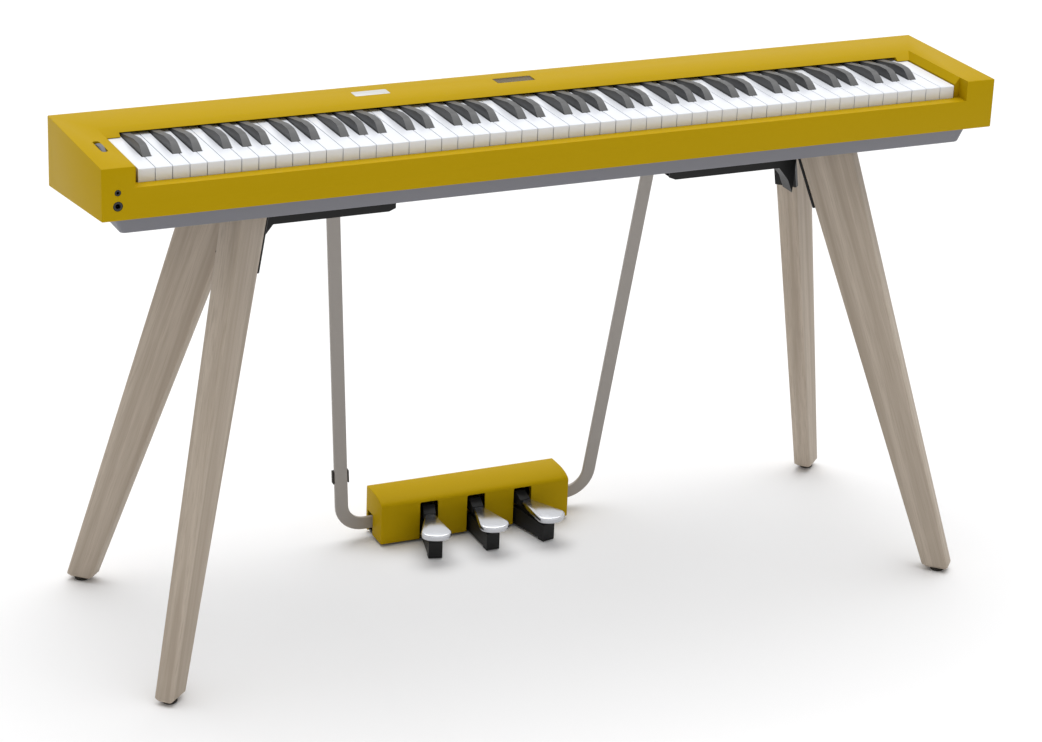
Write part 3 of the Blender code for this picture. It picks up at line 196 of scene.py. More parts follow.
def moulded_grain_group():
    """Fine texture of a moulded or sprayed surface, with a slow drift of tone and gloss."""
    name = "Moulded grain"
    group = start_group(name, (("Colour", 'NodeSocketColor', (0.5, 0.5, 0.5, 1.0)),
                               ("Grain size", 'NodeSocketFloat', 900.0),
                               ("Tone drift", 'NodeSocketFloat', 0.06),
                               ("Roughness", 'NodeSocketFloat', 0.4),
                               ("Gloss drift", 'NodeSocketFloat', 0.08)),
                        (("Colour", 'NodeSocketColor'), ("Roughness", 'NodeSocketFloat'),
                         ("Height", 'NodeSocketFloat')))
    if group is None:
        return bpy.data.node_groups[name]
    entry = group.nodes.new('NodeGroupInput')
    leave = group.nodes.new('NodeGroupOutput')
    place = group.nodes.new('ShaderNodeTexCoord').outputs["Object"]
    fine = put(group, 'ShaderNodeTexNoise', Vector=place, Scale=entry.outputs["Grain size"], Detail=3.0)
    slow = put(group, 'ShaderNodeTexNoise', Vector=place, Scale=6.0, Detail=4.0)
    centred = math_node(group, 'SUBTRACT', slow.outputs["Fac"], 0.5)
    tone = math_node(group, 'MULTIPLY_ADD', centred, entry.outputs["Tone drift"], 1.0)
    shade = group.nodes.new('ShaderNodeVectorMath')
    shade.operation = 'SCALE'
    group.links.new(entry.outputs["Colour"], shade.inputs[0])
    group.links.new(tone, shade.inputs["Scale"])
    gloss = math_node(group, 'MULTIPLY_ADD', centred, entry.outputs["Gloss drift"],
                      entry.outputs["Roughness"])
    group.links.new(shade.outputs[0], leave.inputs["Colour"])
    group.links.new(gloss, leave.inputs["Roughness"])
    group.links.new(fine.outputs["Fac"], leave.inputs["Height"])
    return group


def edge_highlight_group():
    """Mask of the sharp edges, where a painted highlight lightens the surface."""
    name = "Edge rub"
    group = start_group(name, (("Reach", 'NodeSocketFloat', 0.5), ("Breakup", 'NodeSocketFloat', 120.0)),
                        (("Mask", 'NodeSocketFloat'),))
    if group is None:
        return bpy.data.node_groups[name]
    entry = group.nodes.new('NodeGroupInput')
    leave = group.nodes.new('NodeGroupOutput')
    geometry = group.nodes.new('ShaderNodeNewGeometry')
    place = group.nodes.new('ShaderNodeTexCoord').outputs["Object"]
    broken = put(group, 'ShaderNodeTexNoise', Vector=place, Scale=entry.outputs["Breakup"], Detail=4.0)
    # sharp edges (pointiness) give the mask of the painted edge highlight
    sharp = math_node(group, 'SUBTRACT', geometry.outputs["Pointiness"], 0.5)
    strong = math_node(group, 'MULTIPLY', sharp, 8.0)
    part = math_node(group, 'MULTIPLY', strong, broken.outputs["Fac"])
    mask = math_node(group, 'MULTIPLY', part, entry.outputs["Reach"])
    clamp = put(group, 'ShaderNodeClamp', Value=mask)
    group.links.new(clamp.outputs[0], leave.inputs["Mask"])
    return group


def leg_grain_group():
    """Straight oak grain that follows each splayed leg; the four legs mirror one another."""
    name = "Leg grain"
    group = start_group(name, (("Light", 'NodeSocketColor', (0.4, 0.33, 0.26, 1.0)),
                               ("Dark", 'NodeSocketColor', (0.2, 0.16, 0.12, 1.0)),
                               ("Splay X", 'NodeSocketFloat', 0.25), ("Splay Y", 'NodeSocketFloat', 0.24)),
                        (("Colour", 'NodeSocketColor'), ("Roughness", 'NodeSocketFloat'),
                         ("Height", 'NodeSocketFloat')))
    if group is None:
        return bpy.data.node_groups[name]
    entry = group.nodes.new('NodeGroupInput')
    leave = group.nodes.new('NodeGroupOutput')
    place = group.nodes.new('ShaderNodeTexCoord').outputs["Object"]
    split = group.nodes.new('ShaderNodeSeparateXYZ')
    group.links.new(place, split.inputs[0])
    wide = math_node(group, 'ABSOLUTE', split.outputs[0])
    deep = math_node(group, 'ABSOLUTE', split.outputs[1])
    along_x = math_node(group, 'MULTIPLY_ADD', split.outputs[2], entry.outputs["Splay X"], wide)
    along_y = math_node(group, 'MULTIPLY_ADD', split.outputs[2], entry.outputs["Splay Y"], deep)
    # each leg takes its own part of the grain
    offset_x = math_node(group, 'MULTIPLY', math_node(group, 'SIGN', split.outputs[0]), 3.1)
    offset_y = math_node(group, 'MULTIPLY', math_node(group, 'SIGN', split.outputs[1]), 1.7)
    side = math_node(group, 'ADD', offset_x, offset_y)

    def streaks(across, length, detail, turn):
        joined = group.nodes.new('ShaderNodeCombineXYZ')
        group.links.new(math_node(group, 'MULTIPLY', along_x, across), joined.inputs[0])
        group.links.new(math_node(group, 'MULTIPLY', along_y, across), joined.inputs[1])
        run = math_node(group, 'MULTIPLY_ADD', split.outputs[2], length, side)
        group.links.new(run, joined.inputs[2])
        return put(group, 'ShaderNodeTexNoise', Vector=joined.outputs[0], Scale=1.0, Detail=detail,
                   Distortion=turn).outputs["Fac"]

    broad = streaks(60.0, 1.6, 4.0, 0.6)
    pores = streaks(900.0, 22.0, 2.0, 0.0)
    ramp = group.nodes.new('ShaderNodeValToRGB')
    ramp.color_ramp.elements[0].position = 0.34
    ramp.color_ramp.elements[1].position = 0.68
    group.links.new(broad, ramp.inputs[0])
    pore_ramp = group.nodes.new('ShaderNodeValToRGB')
    pore_ramp.color_ramp.elements[0].position = 0.36
    pore_ramp.color_ramp.elements[1].position = 0.50
    group.links.new(pores, pore_ramp.inputs[0])
    share = math_node(group, 'MULTIPLY', ramp.outputs[0], pore_ramp.outputs[0])
    base = math_node(group, 'MULTIPLY', ramp.outputs[0], 0.38)
    blend = math_node(group, 'MULTIPLY_ADD', share, 0.62, base)
    group.links.new(mix_colour(group, blend, entry.outputs["Dark"], entry.outputs["Light"]),
                    leave.inputs["Colour"])
    group.links.new(math_node(group, 'MULTIPLY_ADD', share, -0.12, 0.66), leave.inputs["Roughness"])
    group.links.new(pore_ramp.outputs[0], leave.inputs["Height"])
    return group


# Materials

def start_finish(name):
    made = bpy.data.materials.new(name)
    made.use_nodes = True
    return made, made.node_tree, made.node_tree.nodes["Principled BSDF"]


def bump(tree, shader, height, strength, distance):
    node = put(tree, 'ShaderNodeBump', Strength=strength, Distance=distance, Height=height)
    tree.links.new(node.outputs[0], shader.inputs["Normal"])


def moulded(name, colour, roughness, grain, strength, drift=0.06, gloss=0.08, edge_highlight_share=0.25, coat=0.0,
            metallic=0.0, specular=0.5):
    """Plastic, paint or powder coat: shared grain, and sharp edges lightened as a painted highlight."""
    made = bpy.data.materials.get(name)
    if made:
        return made
    made, tree, shader = start_finish(name)
    group = tree.nodes.new('ShaderNodeGroup')
    group.node_tree = moulded_grain_group()
    group.inputs["Colour"].default_value = (*colour, 1.0)
    group.inputs["Grain size"].default_value = grain
    group.inputs["Tone drift"].default_value = drift
    group.inputs["Roughness"].default_value = roughness
    group.inputs["Gloss drift"].default_value = gloss
    # the sharp edges mix toward a lighter colour: a painted highlight, not wear
    edges = tree.nodes.new('ShaderNodeGroup')
    edges.node_tree = edge_highlight_group()
    edges.inputs["Reach"].default_value = edge_highlight_share
    highlight_colour = (*[min(1.0, c * 1.35 + 0.03) for c in colour], 1.0)
    tree.links.new(mix_colour(tree, edges.outputs["Mask"], group.outputs["Colour"], highlight_colour),
                   shader.inputs["Base Color"])
    tree.links.new(group.outputs["Roughness"], shader.inputs["Roughness"])
    bump(tree, shader, group.outputs["Height"], strength, 0.0002)
    shader.inputs["Coat Weight"].default_value = coat
    shader.inputs["Coat Roughness"].default_value = 0.12
    shader.inputs["Metallic"].default_value = metallic
    shader.inputs["Specular IOR Level"].default_value = specular
    return made


def shell_finish(sizes):
    return moulded("mustard_lacquer", sizes.shell, 0.50, 700.0, 0.10, drift=0.05, gloss=0.06, edge_highlight_share=0.10,
                   specular=0.05)


def tray_finish(sizes):
    return moulded("grey_moulding", sizes.tray, 0.55, 1400.0, 0.35, gloss=0.10, edge_highlight_share=0.15)


def steel_finish(sizes):
    return moulded("black_powder_coat", sizes.steel, 0.42, 1800.0, 0.50, drift=0.10, gloss=0.10, edge_highlight_share=0.15,
                   specular=0.2)


def bar_finish(sizes):
    return moulded("warm_grey_coat", sizes.bar, 0.38, 1500.0, 0.25, drift=0.08)


def white_key_finish(sizes):
    return moulded("white_key_plastic", sizes.white_key, 0.22, 500.0, 0.04, drift=0.02, gloss=0.05, edge_highlight_share=0.0,
                   coat=0.2)


def black_key_finish(sizes):
    return moulded("charcoal_key_plastic", sizes.black_key, 0.42, 1600.0, 0.30, drift=0.10, gloss=0.10)


def dark_plastic():
    return moulded("dark_plastic", (0.012, 0.012, 0.014), 0.45, 1200.0, 0.30)


def wheel_plastic():
    return moulded("wheel_plastic", (0.085, 0.085, 0.095), 0.50, 1500.0, 0.45)


def dark_rubber():
    return moulded("dark_rubber", (0.022, 0.017, 0.014), 0.78, 1800.0, 0.60, drift=0.15, gloss=0.10, edge_highlight_share=0.1)


def oak_finish(sizes):
    made = bpy.data.materials.get("greyed_oak")
    if made:
        return made
    made, tree, shader = start_finish("greyed_oak")
    group = tree.nodes.new('ShaderNodeGroup')
    group.node_tree = leg_grain_group()
    group.inputs["Light"].default_value = (*sizes.oak, 1.0)
    group.inputs["Dark"].default_value = (*sizes.oak_dark, 1.0)
    top, foot = leg_ends("leg_rear_right")
    drop = top.z - foot.z
    group.inputs["Splay X"].default_value = (foot.x - top.x) / drop
    group.inputs["Splay Y"].default_value = (foot.y - top.y) / drop
    tree.links.new(group.outputs["Colour"], shader.inputs["Base Color"])
    tree.links.new(group.outputs["Roughness"], shader.inputs["Roughness"])
    bump(tree, shader, group.outputs["Height"], 0.25, 0.0003)
    return made


def leg_ends(node):
    """Middle of a leg's top face and of its foot."""
    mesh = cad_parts[node].data
    low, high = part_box(node)
    tops = [v.co for v in mesh.vertices if v.co.z > high.z - 0.001]
    feet = [v.co for v in mesh.vertices if v.co.z < low.z + 0.001]
    return sum(tops, Vector()) / len(tops), sum(feet, Vector()) / len(feet)


def plated(name, colour, roughness, streak):
    """Plated or bare metal with a faint brushed streak."""
    made = bpy.data.materials.get(name)
    if made:
        return made
    made, tree, shader = start_finish(name)
    place = tree.nodes.new('ShaderNodeTexCoord').outputs["Object"]
    stretch = tree.nodes.new('ShaderNodeMapping')
    stretch.inputs["Scale"].default_value = (streak, 40.0, streak)
    tree.links.new(place, stretch.inputs[0])
    noise = put(tree, 'ShaderNodeTexNoise', Vector=stretch.outputs[0], Scale=1.0, Detail=3.0)
    tree.links.new(math_node(tree, 'MULTIPLY_ADD', noise.outputs["Fac"], 0.14, roughness - 0.07),
                   shader.inputs["Roughness"])
    dim = (*[c * 0.86 for c in colour], 1.0)
    tree.links.new(mix_colour(tree, noise.outputs["Fac"], dim, (*colour, 1.0)), shader.inputs["Base Color"])
    bump(tree, shader, noise.outputs["Fac"], 0.05, 0.0001)
    shader.inputs["Metallic"].default_value = 1.0
    return made


def nickel_finish(sizes):
    return plated("satin_nickel", sizes.nickel, 0.22, 900.0)


def bright_steel():
    return plated("bright_steel", (0.62, 0.62, 0.64), 0.30, 700.0)


def display_finish():
    """Dark glass with a few soft, generic lighter blue dashes painted on as glints."""
    made = bpy.data.materials.get("display_glass")
    if made:
        return made
    made, tree, shader = start_finish("display_glass")
    place = tree.nodes.new('ShaderNodeTexCoord').outputs["Object"]
    centre = (DISPLAY_LOW + DISPLAY_HIGH) / 2
    shift = tree.nodes.new('ShaderNodeMapping')
    shift.inputs["Location"].default_value = -centre
    tree.links.new(place, shift.inputs[0])
    # the lighter blue brick cells, shown only in the noise patches below, are painted glints on the glass
    cells = tree.nodes.new('ShaderNodeTexBrick')
    cells.offset = 0.37
    cells.inputs["Scale"].default_value = 60.0
    cells.inputs["Mortar Size"].default_value = 0.035
    cells.inputs["Brick Width"].default_value = 0.42
    cells.inputs["Row Height"].default_value = 0.20
    cells.inputs["Color1"].default_value = (0.030, 0.070, 0.150, 1.0)
    cells.inputs["Color2"].default_value = (0.006, 0.012, 0.032, 1.0)
    cells.inputs["Mortar"].default_value = (0.006, 0.009, 0.020, 1.0)
    tree.links.new(shift.outputs[0], cells.inputs["Vector"])
    glint_patches = put(tree, 'ShaderNodeTexNoise', Vector=shift.outputs[0], Scale=70.0, Detail=1.0)
    sharp = math_node(tree, 'GREATER_THAN', glint_patches.outputs["Fac"], 0.54)
    tree.links.new(mix_colour(tree, sharp, (0.007, 0.011, 0.026, 1.0), cells.outputs["Color"]),
                   shader.inputs["Base Color"])
    shader.inputs["Roughness"].default_value = 0.12
    shader.inputs["Specular IOR Level"].default_value = 0.12
    return made


def felt_finish():
    made = bpy.data.materials.get("red_felt")
    if made:
        return made
    made, tree, shader = start_finish("red_felt")
    place = tree.nodes.new('ShaderNodeTexCoord').outputs["Object"]
    fibres = put(tree, 'ShaderNodeTexNoise', Vector=place, Scale=2500.0, Detail=6.0)
    dark, light = (0.10, 0.006, 0.008, 1.0), (0.28, 0.02, 0.02, 1.0)
    tree.links.new(mix_colour(tree, fibres.outputs["Fac"], dark, light), shader.inputs["Base Color"])
    shader.inputs["Roughness"].default_value = 0.95
    shader.inputs["Sheen Weight"].default_value = 0.4
    bump(tree, shader, fibres.outputs["Fac"], 0.8, 0.0004)
    return made


def board_finish():
    made = bpy.data.materials.get("green_board")
    if made:
        return made
    made, tree, shader = start_finish("green_board")
    place = tree.nodes.new('ShaderNodeTexCoord').outputs["Object"]
    cells = put(tree, 'ShaderNodeTexVoronoi', Vector=place, Scale=160.0)
    light, dark = (0.02, 0.16, 0.06, 1.0), (0.006, 0.06, 0.02, 1.0)
    tree.links.new(mix_colour(tree, cells.outputs["Distance"], light, dark), shader.inputs["Base Color"])
    shader.inputs["Roughness"].default_value = 0.45
    bump(tree, shader, cells.outputs["Distance"], 0.3, 0.0002)
    return made


# Mesh helpers

def dress(node, finish, edge=0.0006, angle=32.0):
    """Show a CAD node with soft edges and its own finish; its own vertices stay as packed."""
    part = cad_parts[node]
    mesh = part.data
    mesh.materials.clear()
    mesh.materials.append(finish)
    if "custom_normal" in mesh.attributes:
        mesh.attributes.remove(mesh.attributes["custom_normal"])
    mesh.shade_smooth()
    weld = part.modifiers.new("Weld seams", 'WELD')
    weld.merge_threshold = 0.00001
    flat = part.modifiers.new("Join flats", 'DECIMATE')
    flat.decimate_type = 'DISSOLVE'
    flat.angle_limit = math.radians(1.0)
    soft = part.modifiers.new("Soft edges", 'BEVEL')
    soft.width = edge
    soft.segments = 2
    soft.limit_method = 'ANGLE'
    soft.angle_limit = math.radians(angle)
    soft.harden_normals = True
    soft.use_clamp_overlap = True
    return part


def piece(name, mesh, finish, body, place=None):
    """A new object that rides on a body."""
    made = bpy.data.objects.new(name, mesh)
    mesh.materials.append(finish)
    bpy.context.scene.collection.objects.link(made)
    if place is not None:
        made.matrix_world = place
        bpy.context.view_layer.update()
    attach(made, body)
    return made


def facing(place, direction, turn=0.0):
    """Matrix that puts local +Z along a direction at a place."""
    way = Vector(direction).normalized().to_track_quat('Z', 'Y').to_matrix().to_4x4()
    return Matrix.Translation(Vector(place)) @ way @ Matrix.Rotation(turn, 4, 'Z')


def loops_mesh(name, loops, closed=False, cap=True):
    """Skin a row of closed loops of equal length."""
    shape = bmesh.new()
    rows = [[shape.verts.new(p) for p in loop] for loop in loops]
    count = len(rows[0])
    pairs = list(zip(rows, rows[1:]))
    if closed:
        pairs.append((rows[-1], rows[0]))
    for low, high in pairs:
        for i in range(count):
            j = (i + 1) % count
            shape.faces.new((low[i], low[j], high[j], high[i]))
    if cap and not closed:
        shape.faces.new(rows[0][::-1])
        shape.faces.new(rows[-1])
    bmesh.ops.recalc_face_normals(shape, faces=shape.faces)
    mesh = bpy.data.meshes.new(name)
    shape.to_mesh(mesh)
    shape.free()
    mesh.shade_smooth()
    mesh.set_sharp_from_angle(angle=math.radians(35))
    return mesh


def round_loop(radius, height, steps=24):
    return [(radius * math.cos(2 * math.pi * i / steps), radius * math.sin(2 * math.pi * i / steps), height)
            for i in range(steps)]


def hex_loop(radius, height, steps=24):
    """A hexagon with the same number of points as a round loop."""
    points = []
    per_side = steps // 6
    for i in range(steps):
        side, share = divmod(i, per_side)
        a, b = math.radians(60 * side), math.radians(60 * (side + 1))
        start = Vector((math.cos(a), math.sin(a), 0))
        end = Vector((math.cos(b), math.sin(b), 0))
        spot = start.lerp(end, share / per_side) * radius
        points.append((spot.x, spot.y, height))
    return points


def screw_mesh(radius):
    """Pan head with a hexagon socket; its rim sits on the surface."""
    high = radius * 0.55
    head = [(1.0, 0.0), (1.0, 0.45), (0.93, 0.80), (0.78, 1.0)]
    loops = [round_loop(radius * wide, high * share) for wide, share in head]
    loops += [hex_loop(radius * 0.50, high * share) for share in (1.0, 0.25)]
    return loops_mesh("screw", loops)


def ring_mesh(inner, outer, high):
    """Turned trim ring with a rounded crown."""
    rows = 8
    steps = 40
    wall = 0.4                  # share of the height that is upright, under the crown
    centre = (inner + outer) / 2
    half = (outer - inner) / 2
    loops = [round_loop(outer, 0.0, steps)]
    for i in range(rows + 1):
        a = math.pi * i / rows
        crown = high * (wall + (1.0 - wall) * math.sin(a))
        loops.append(round_loop(centre + half * math.cos(a), crown, steps))
    loops.append(round_loop(inner, 0.0, steps))
    return loops_mesh("ring", loops, closed=True)


def rounded_outline(wide, deep, radius, steps=5):
    points = []
    for sx, sy, start in ((1, 1, 0), (-1, 1, 90), (-1, -1, 180), (1, -1, 270)):
        for i in range(steps + 1):
            a = math.radians(start + 90 * i / steps)
            points.append((sx * (wide / 2 - radius) + radius * math.cos(a),
                           sy * (deep / 2 - radius) + radius * math.sin(a)))
    return points


# Operators

class PIANO_OT_cases(bpy.types.Operator):
    """Finish the mustard shell, the grey tray and the pedal box"""
    bl_idname = "piano.cases"
    bl_label = "Cases"

    def execute(self, context):
        sizes = context.scene.piano_finishes
        dress("upper_case", shell_finish(sizes), 0.0007)
        dress("lower_case", tray_finish(sizes), 0.0012)
        dress("pedal_box", shell_finish(sizes), 0.0010)
        return {'FINISHED'}


class PIANO_OT_keyboard(bpy.types.Operator):
    """Finish the keys, the felt, the hinge rail and the key frame"""
    bl_idname = "piano.keyboard"
    bl_label = "Keyboard"

    def execute(self, context):
        sizes = context.scene.piano_finishes
        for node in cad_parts:
            if node.startswith("white_key"):
                dress(node, white_key_finish(sizes), 0.0008)
            elif node.startswith("black_key"):
                dress(node, black_key_finish(sizes), 0.0012)
        dress("key_hinge_rail", dark_plastic())
        dress("key_frame", steel_finish(sizes))
        dress("key_stop_felt", felt_finish())
        return {'FINISHED'}


class PIANO_OT_electronics(bpy.types.Operator):
    """Finish the display, the board, the speakers, the sockets and the pitch wheel"""
    bl_idname = "piano.electronics"
    bl_label = "Electronics"

    def execute(self, context):
        dress("display_window", display_finish(), 0.0003)
        dress("main_board", board_finish(), 0.0003)
        for node in ("speaker_left", "speaker_right", "rear_socket_block", "headphone_jack_large",
                     "headphone_jack_small"):
            dress(node, dark_plastic(), 0.0004)
        dress("pitch_wheel", wheel_plastic(), 0.0004)
        dress("pitch_wheel_axle", bright_steel(), 0.0002)
        return {'FINISHED'}


class PIANO_OT_stand(bpy.types.Operator):
    """Finish the legs, the glides and the steel brackets"""
    bl_idname = "piano.stand"
    bl_label = "Stand"

    def execute(self, context):
        sizes = context.scene.piano_finishes
        for side in ("left", "right"):
            dress("leg_bracket_" + side, steel_finish(sizes), 0.0010)
            for end in ("front", "rear"):
                dress("leg_%s_%s" % (end, side), oak_finish(sizes), 0.0008)
                dress("glide_%s_%s" % (end, side), dark_rubber(), 0.0004)
        return {'FINISHED'}


class PIANO_OT_pedals(bpy.types.Operator):
    """Finish the pedals, their base and axle, and the two arms"""
    bl_idname = "piano.pedals"
    bl_label = "Pedals"

    def execute(self, context):
        sizes = context.scene.piano_finishes
        for word in ("left", "centre", "right"):
            dress("pedal_pad_" + word, nickel_finish(sizes), 0.0008)
            dress("pedal_lever_" + word, steel_finish(sizes), 0.0008)
        dress("pedal_base", steel_finish(sizes), 0.0006)
        dress("pedal_axle", bright_steel(), 0.0003)
        for side in ("left", "right"):
            dress("pedal_arm_" + side, bar_finish(sizes), 0.0010)
        dress("cable_clip", dark_rubber(), 0.0005)
        return {'FINISHED'}


class PIANO_OT_label(bpy.types.Operator):
    """Add the blank silver inlay on the top panel"""
    bl_idname = "piano.label"
    bl_label = "Blank inlay"

    def execute(self, context):
        sizes = context.scene.piano_details
        outline = rounded_outline(sizes.label_width, sizes.label_depth, LABEL_CORNER)
        inset = [(x * 0.992, y * 0.985) for x, y in outline]
        loops = [[(x, y, 0.0) for x, y in outline], [(x, y, LABEL_HEIGHT * 0.625) for x, y in outline],
                 [(x, y, LABEL_HEIGHT) for x, y in inset]]
        place = Matrix.Translation((CASE_LOW.x * LABEL_SHARE, middle("display_window").y, BODY_TOP))
        silver = moulded("blank_silver_inlay", (0.62, 0.62, 0.60), 0.42, 600.0, 0.05, drift=0.04,
                         gloss=0.05, edge_highlight_share=0.0, metallic=0.25)
        piece("blank_inlay", loops_mesh("blank_inlay", loops), silver, "instrument", place)
        return {'FINISHED'}


class PIANO_OT_socket_rings(bpy.types.Operator):
    """Add the turned rings round the headphone and rear sockets"""
    bl_idname = "piano.socket_rings"
    bl_label = "Socket rings"

    def execute(self, context):
        for node, inner, outer in (("headphone_jack_large", 0.0036, 0.0058),
                                   ("headphone_jack_small", 0.0020, 0.0037)):
            low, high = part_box(node)
            spot = ((low.x + high.x) / 2, low.y + RING_SEAT, (low.z + high.z) / 2)
            piece("ring_" + node, ring_mesh(inner, outer, 0.0010), dark_plastic(), "instrument",
                  facing(spot, (0, -1, 0)))
        low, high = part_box("rear_socket_block")
        centre = (low + high) / 2
        for index, shift in enumerate(REAR_RING_SHIFTS):
            spot = (centre.x + shift, high.y - RING_SEAT, centre.z)
            piece("rear_socket_ring_%d" % (index + 1), ring_mesh(0.0035, 0.0060, 0.0012), bright_steel(),
                  "instrument", facing(spot, (0, 1, 0)))
        return {'FINISHED'}


class PIANO_OT_screws(bpy.types.Operator):
    """Add the screws of the tray, the brackets, the arms and the pedal box"""
    bl_idname = "piano.screws"
    bl_label = "Screws"

    def execute(self, context):
        sizes = context.scene.piano_details
        coat = context.scene.piano_finishes
        self.count = 0

        def add(spot, direction, radius, finish):
            self.count += 1
            piece("screw_%d" % self.count, screw_mesh(radius), finish, "instrument",
                  facing(spot, direction, self.count * 0.7))

        # the front row has no screw at the two inner places
        for place in range(-2, 3):
            for y in (TRAY_LOW.y + TRAY_SCREW_FRONT, TRAY_HIGH.y - TRAY_SCREW_REAR):
                if abs(place) != 1 or y > 0:
                    add((place * TRAY_SCREW_SPACING, y, UNDERSIDE + SEAT), (0, 0, -1), sizes.screw,
                        dark_plastic())
        for side in ("left", "right"):
            low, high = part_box("leg_bracket_" + side)
            inner = low.x if side == "right" else high.x
            way = 1 if side == "right" else -1
            for run in FLANGE_BOLT_RUNS:
                for y in (-FLANGE_BOLT_SIDE, FLANGE_BOLT_SIDE):
                    add((inner + way * run, y, high.z - FLANGE_DEPTH), (0, 0, -1), sizes.bolt * 0.8,
                        steel_finish(coat))
            low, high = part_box("pedal_arm_" + side)
            outer = high.x if side == "right" else low.x
            for run in TAB_SCREW_RUNS:
                add((outer - way * TAB_MIDDLE, low.y + run, high.z - TAB_DEPTH), (0, 0, -1), sizes.screw,
                    steel_finish(coat))
            add_wing_bolts(side, way, sizes, coat, add)
        rear = BOX_HIGH.y - SEAT
        for x in (-BOX_SCREW_X, BOX_SCREW_X):
            for share, height in ((1.0, BOX_SCREW_HEIGHT), (BOX_LOW_SCREW_SHARE, BOX_LOW_SCREW_HEIGHT)):
                add((x * share, rear, BOX_LOW.z + height), (0, 1, 0), sizes.screw, dark_plastic())
        return {'FINISHED'}


def add_wing_bolts(side, way, sizes, coat, add):
    """Two bolts through each plate of a bracket into its leg's inner edge."""
    angle = math.radians(PLATE_ANGLE)
    for end, sy in (("front", -1), ("rear", 1)):
        top, foot = leg_ends("leg_%s_%s" % (end, side))
        run = (foot - top).normalized()
        inward = Vector((-way * math.cos(angle), -sy * math.sin(angle), 0.0))
        normal = (inward - run * inward.dot(run)).normalized()
        for drop, half in PLATE_BOLTS:
            share = drop / (top.z - foot.z)
            spot = top.lerp(foot, share) + inward * (half + PLATE_REACH)
            add(spot, normal, sizes.bolt * 0.75, steel_finish(coat))


class PIANO_OT_grilles(bpy.types.Operator):
    """Add the slotted speaker grilles under the tray"""
    bl_idname = "piano.grilles"
    bl_label = "Speaker grilles"

    def execute(self, context):
        sizes = context.scene.piano_details
        count = sizes.grille_slots
        for side in ("left", "right"):
            low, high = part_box("speaker_" + side)
            centre = (low + high) / 2
            wide, deep = (high.x - low.x) * 0.92, (high.y - low.y) * 0.90
            shape = bmesh.new()
            pitch = wide / count
            for index in range(count):
                x = -wide / 2 + pitch * (index + 0.5)
                reach = deep / 2 * math.sqrt(max(0.05, 1 - (x / (wide / 2)) ** 2))
                outline = rounded_outline(pitch * 0.45, 2 * reach, pitch * 0.2, 3)
                rows = [[shape.verts.new((x + px, py, z)) for px, py in outline]
                        for z in (0.0, GRILLE_HEIGHT)]
                for i in range(len(outline)):
                    j = (i + 1) % len(outline)
                    shape.faces.new((rows[0][i], rows[0][j], rows[1][j], rows[1][i]))
                shape.faces.new(rows[0][::-1])
                shape.faces.new(rows[1])
            bmesh.ops.recalc_face_normals(shape, faces=shape.faces)
            mesh = bpy.data.meshes.new("grille")
            shape.to_mesh(mesh)
            shape.free()
            piece("speaker_grille_" + side, mesh, dark_plastic(), "instrument",
                  facing((centre.x, centre.y, UNDERSIDE + RING_SEAT), (0, 0, -1)))
        return {'FINISHED'}


class PIANO_OT_stage(bpy.types.Operator):
    """Add the floor, the lights and the camera"""
    bl_idname = "piano.stage"
    bl_label = "Stage"

    def execute(self, context):
        sizes = context.scene.piano_stage
        build_floor(sizes)
        build_lights(sizes)
        build_camera(sizes)
        context.scene.view_settings.view_transform = 'Standard'
        return {'FINISHED'}


def build_floor(sizes):
    mesh = loops_mesh("floor", [round_loop(FLOOR_RADIUS, z, 64) for z in (-0.02, 0.0)])
    floor = bpy.data.objects.new("floor", mesh)
    made, _, shader = start_finish("pale_floor")
    shader.inputs["Base Color"].default_value = (*sizes.floor, 1.0)
    shader.inputs["Roughness"].default_value = 1.0
    shader.inputs["Specular IOR Level"].default_value = 0.0
    mesh.materials.append(made)
    bpy.context.scene.collection.objects.link(floor)


def build_lights(sizes):
    world = bpy.data.worlds.new("studio")
    bpy.context.scene.world = world
    world.use_nodes = True
    tree = world.node_tree
    background = tree.nodes["Background"]
    background.inputs["Color"].default_value = (1.0, 1.0, 1.0, 1.0)
    path = tree.nodes.new('ShaderNodeLightPath')
    seen = math_node(tree, 'MAXIMUM', path.outputs["Is Camera Ray"], path.outputs["Is Glossy Ray"])
    seen = math_node(tree, 'MAXIMUM', seen, path.outputs["Is Transmission Ray"])
    strength = math_node(tree, 'MULTIPLY_ADD', seen, 1.0 - sizes.sky, sizes.sky)
    tree.links.new(strength, background.inputs["Strength"])
    lamp = bpy.data.lights.new("overhead", 'SUN')
    lamp.energy = sizes.overhead
    lamp.angle = math.radians(70)
    made = bpy.data.objects.new("overhead", lamp)
    made.rotation_euler = (math.radians(-10), math.radians(6), 0.0)
    bpy.context.scene.collection.objects.link(made)


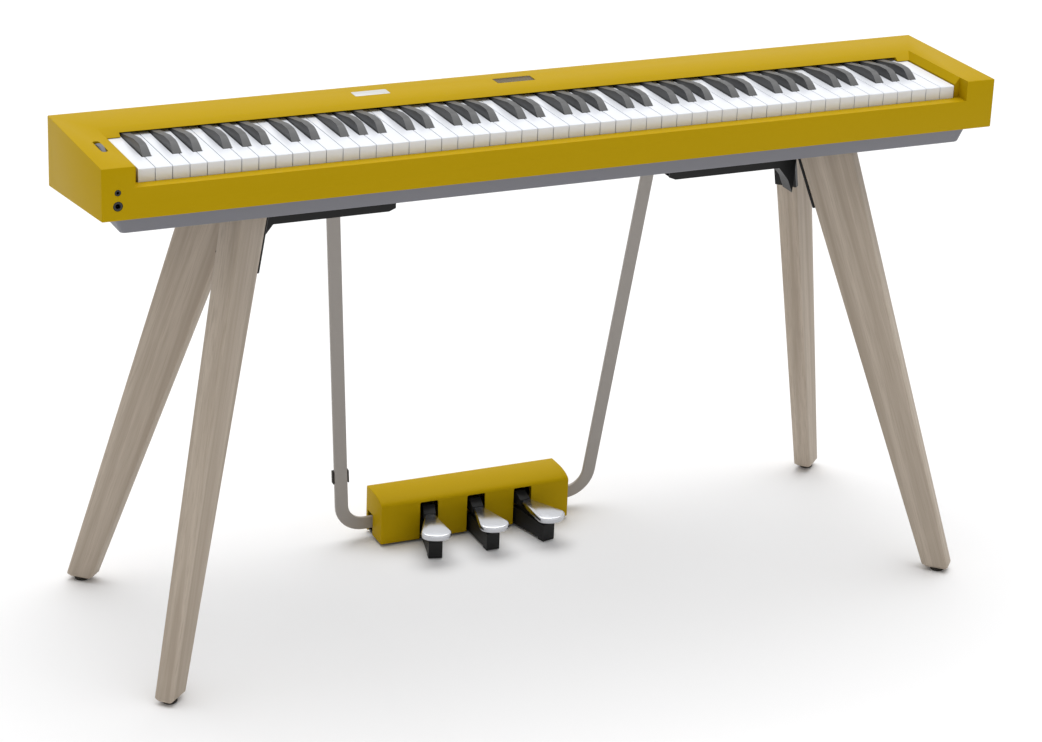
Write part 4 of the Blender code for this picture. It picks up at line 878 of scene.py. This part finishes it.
def build_camera(sizes):
    """Camera at the photograph's viewpoint."""
    lens = bpy.data.cameras.new("camera")
    lens.lens = sizes.lens
    lens.sensor_width = SENSOR_WIDTH
    lens.clip_end = 200.0
    turn, lift, roll = (math.radians(a) for a in (CAMERA_TURN, CAMERA_LIFT, CAMERA_ROLL))
    back = Vector((math.sin(turn) * math.cos(lift), -math.cos(turn) * math.cos(lift), math.sin(lift)))
    right = Vector((0, 0, 1)).cross(back).normalized()
    up = back.cross(right)
    side = right * math.cos(roll) + up * math.sin(roll)
    top = up * math.cos(roll) - right * math.sin(roll)
    camera = bpy.data.objects.new("camera", lens)
    way = Matrix((side, top, back)).transposed().to_4x4()
    camera.matrix_world = Matrix.Translation(CAMERA_PLACE) @ way
    bpy.context.scene.collection.objects.link(camera)
    bpy.context.scene.camera = camera


class PIANO_PT_panel(bpy.types.Panel):
    """Lists the steps that dress the piano"""
    bl_label = "Piano"
    bl_idname = "PIANO_PT_panel"
    bl_space_type = 'VIEW_3D'
    bl_region_type = 'UI'
    bl_category = "Piano"

    def draw(self, context):
        for step in STEPS:
            self.layout.operator(step.bl_idname)
        for group in (context.scene.piano_finishes, context.scene.piano_details, context.scene.piano_stage):
            column = self.layout.column()
            for name in group.__annotations__:
                column.prop(group, name)


STEPS = (PIANO_OT_stage, PIANO_OT_cases, PIANO_OT_keyboard, PIANO_OT_electronics, PIANO_OT_stand,
         PIANO_OT_pedals, PIANO_OT_label, PIANO_OT_socket_rings, PIANO_OT_screws, PIANO_OT_grilles)
GROUPS = (("piano_finishes", PianoFinishes), ("piano_details", PianoDetails), ("piano_stage", PianoStage))


def register():
    for name, group in GROUPS:
        bpy.utils.register_class(group)
        setattr(bpy.types.Scene, name, PointerProperty(type=group))
    for made in (*STEPS, PIANO_PT_panel):
        bpy.utils.register_class(made)


def unregister():
    for made in reversed((*STEPS, PIANO_PT_panel)):
        bpy.utils.unregister_class(made)
    for name, group in reversed(GROUPS):
        delattr(bpy.types.Scene, name)
        bpy.utils.unregister_class(group)


def main():
    register()
    bpy.ops.piano.stage()
    bpy.ops.piano.cases()
    bpy.ops.piano.keyboard()
    bpy.ops.piano.electronics()
    bpy.ops.piano.stand()
    bpy.ops.piano.pedals()
    bpy.ops.piano.label()
    bpy.ops.piano.socket_rings()
    bpy.ops.piano.screws()
    bpy.ops.piano.grilles()
    bpy.context.view_layer.update()


if __name__ == "__main__":
    main()
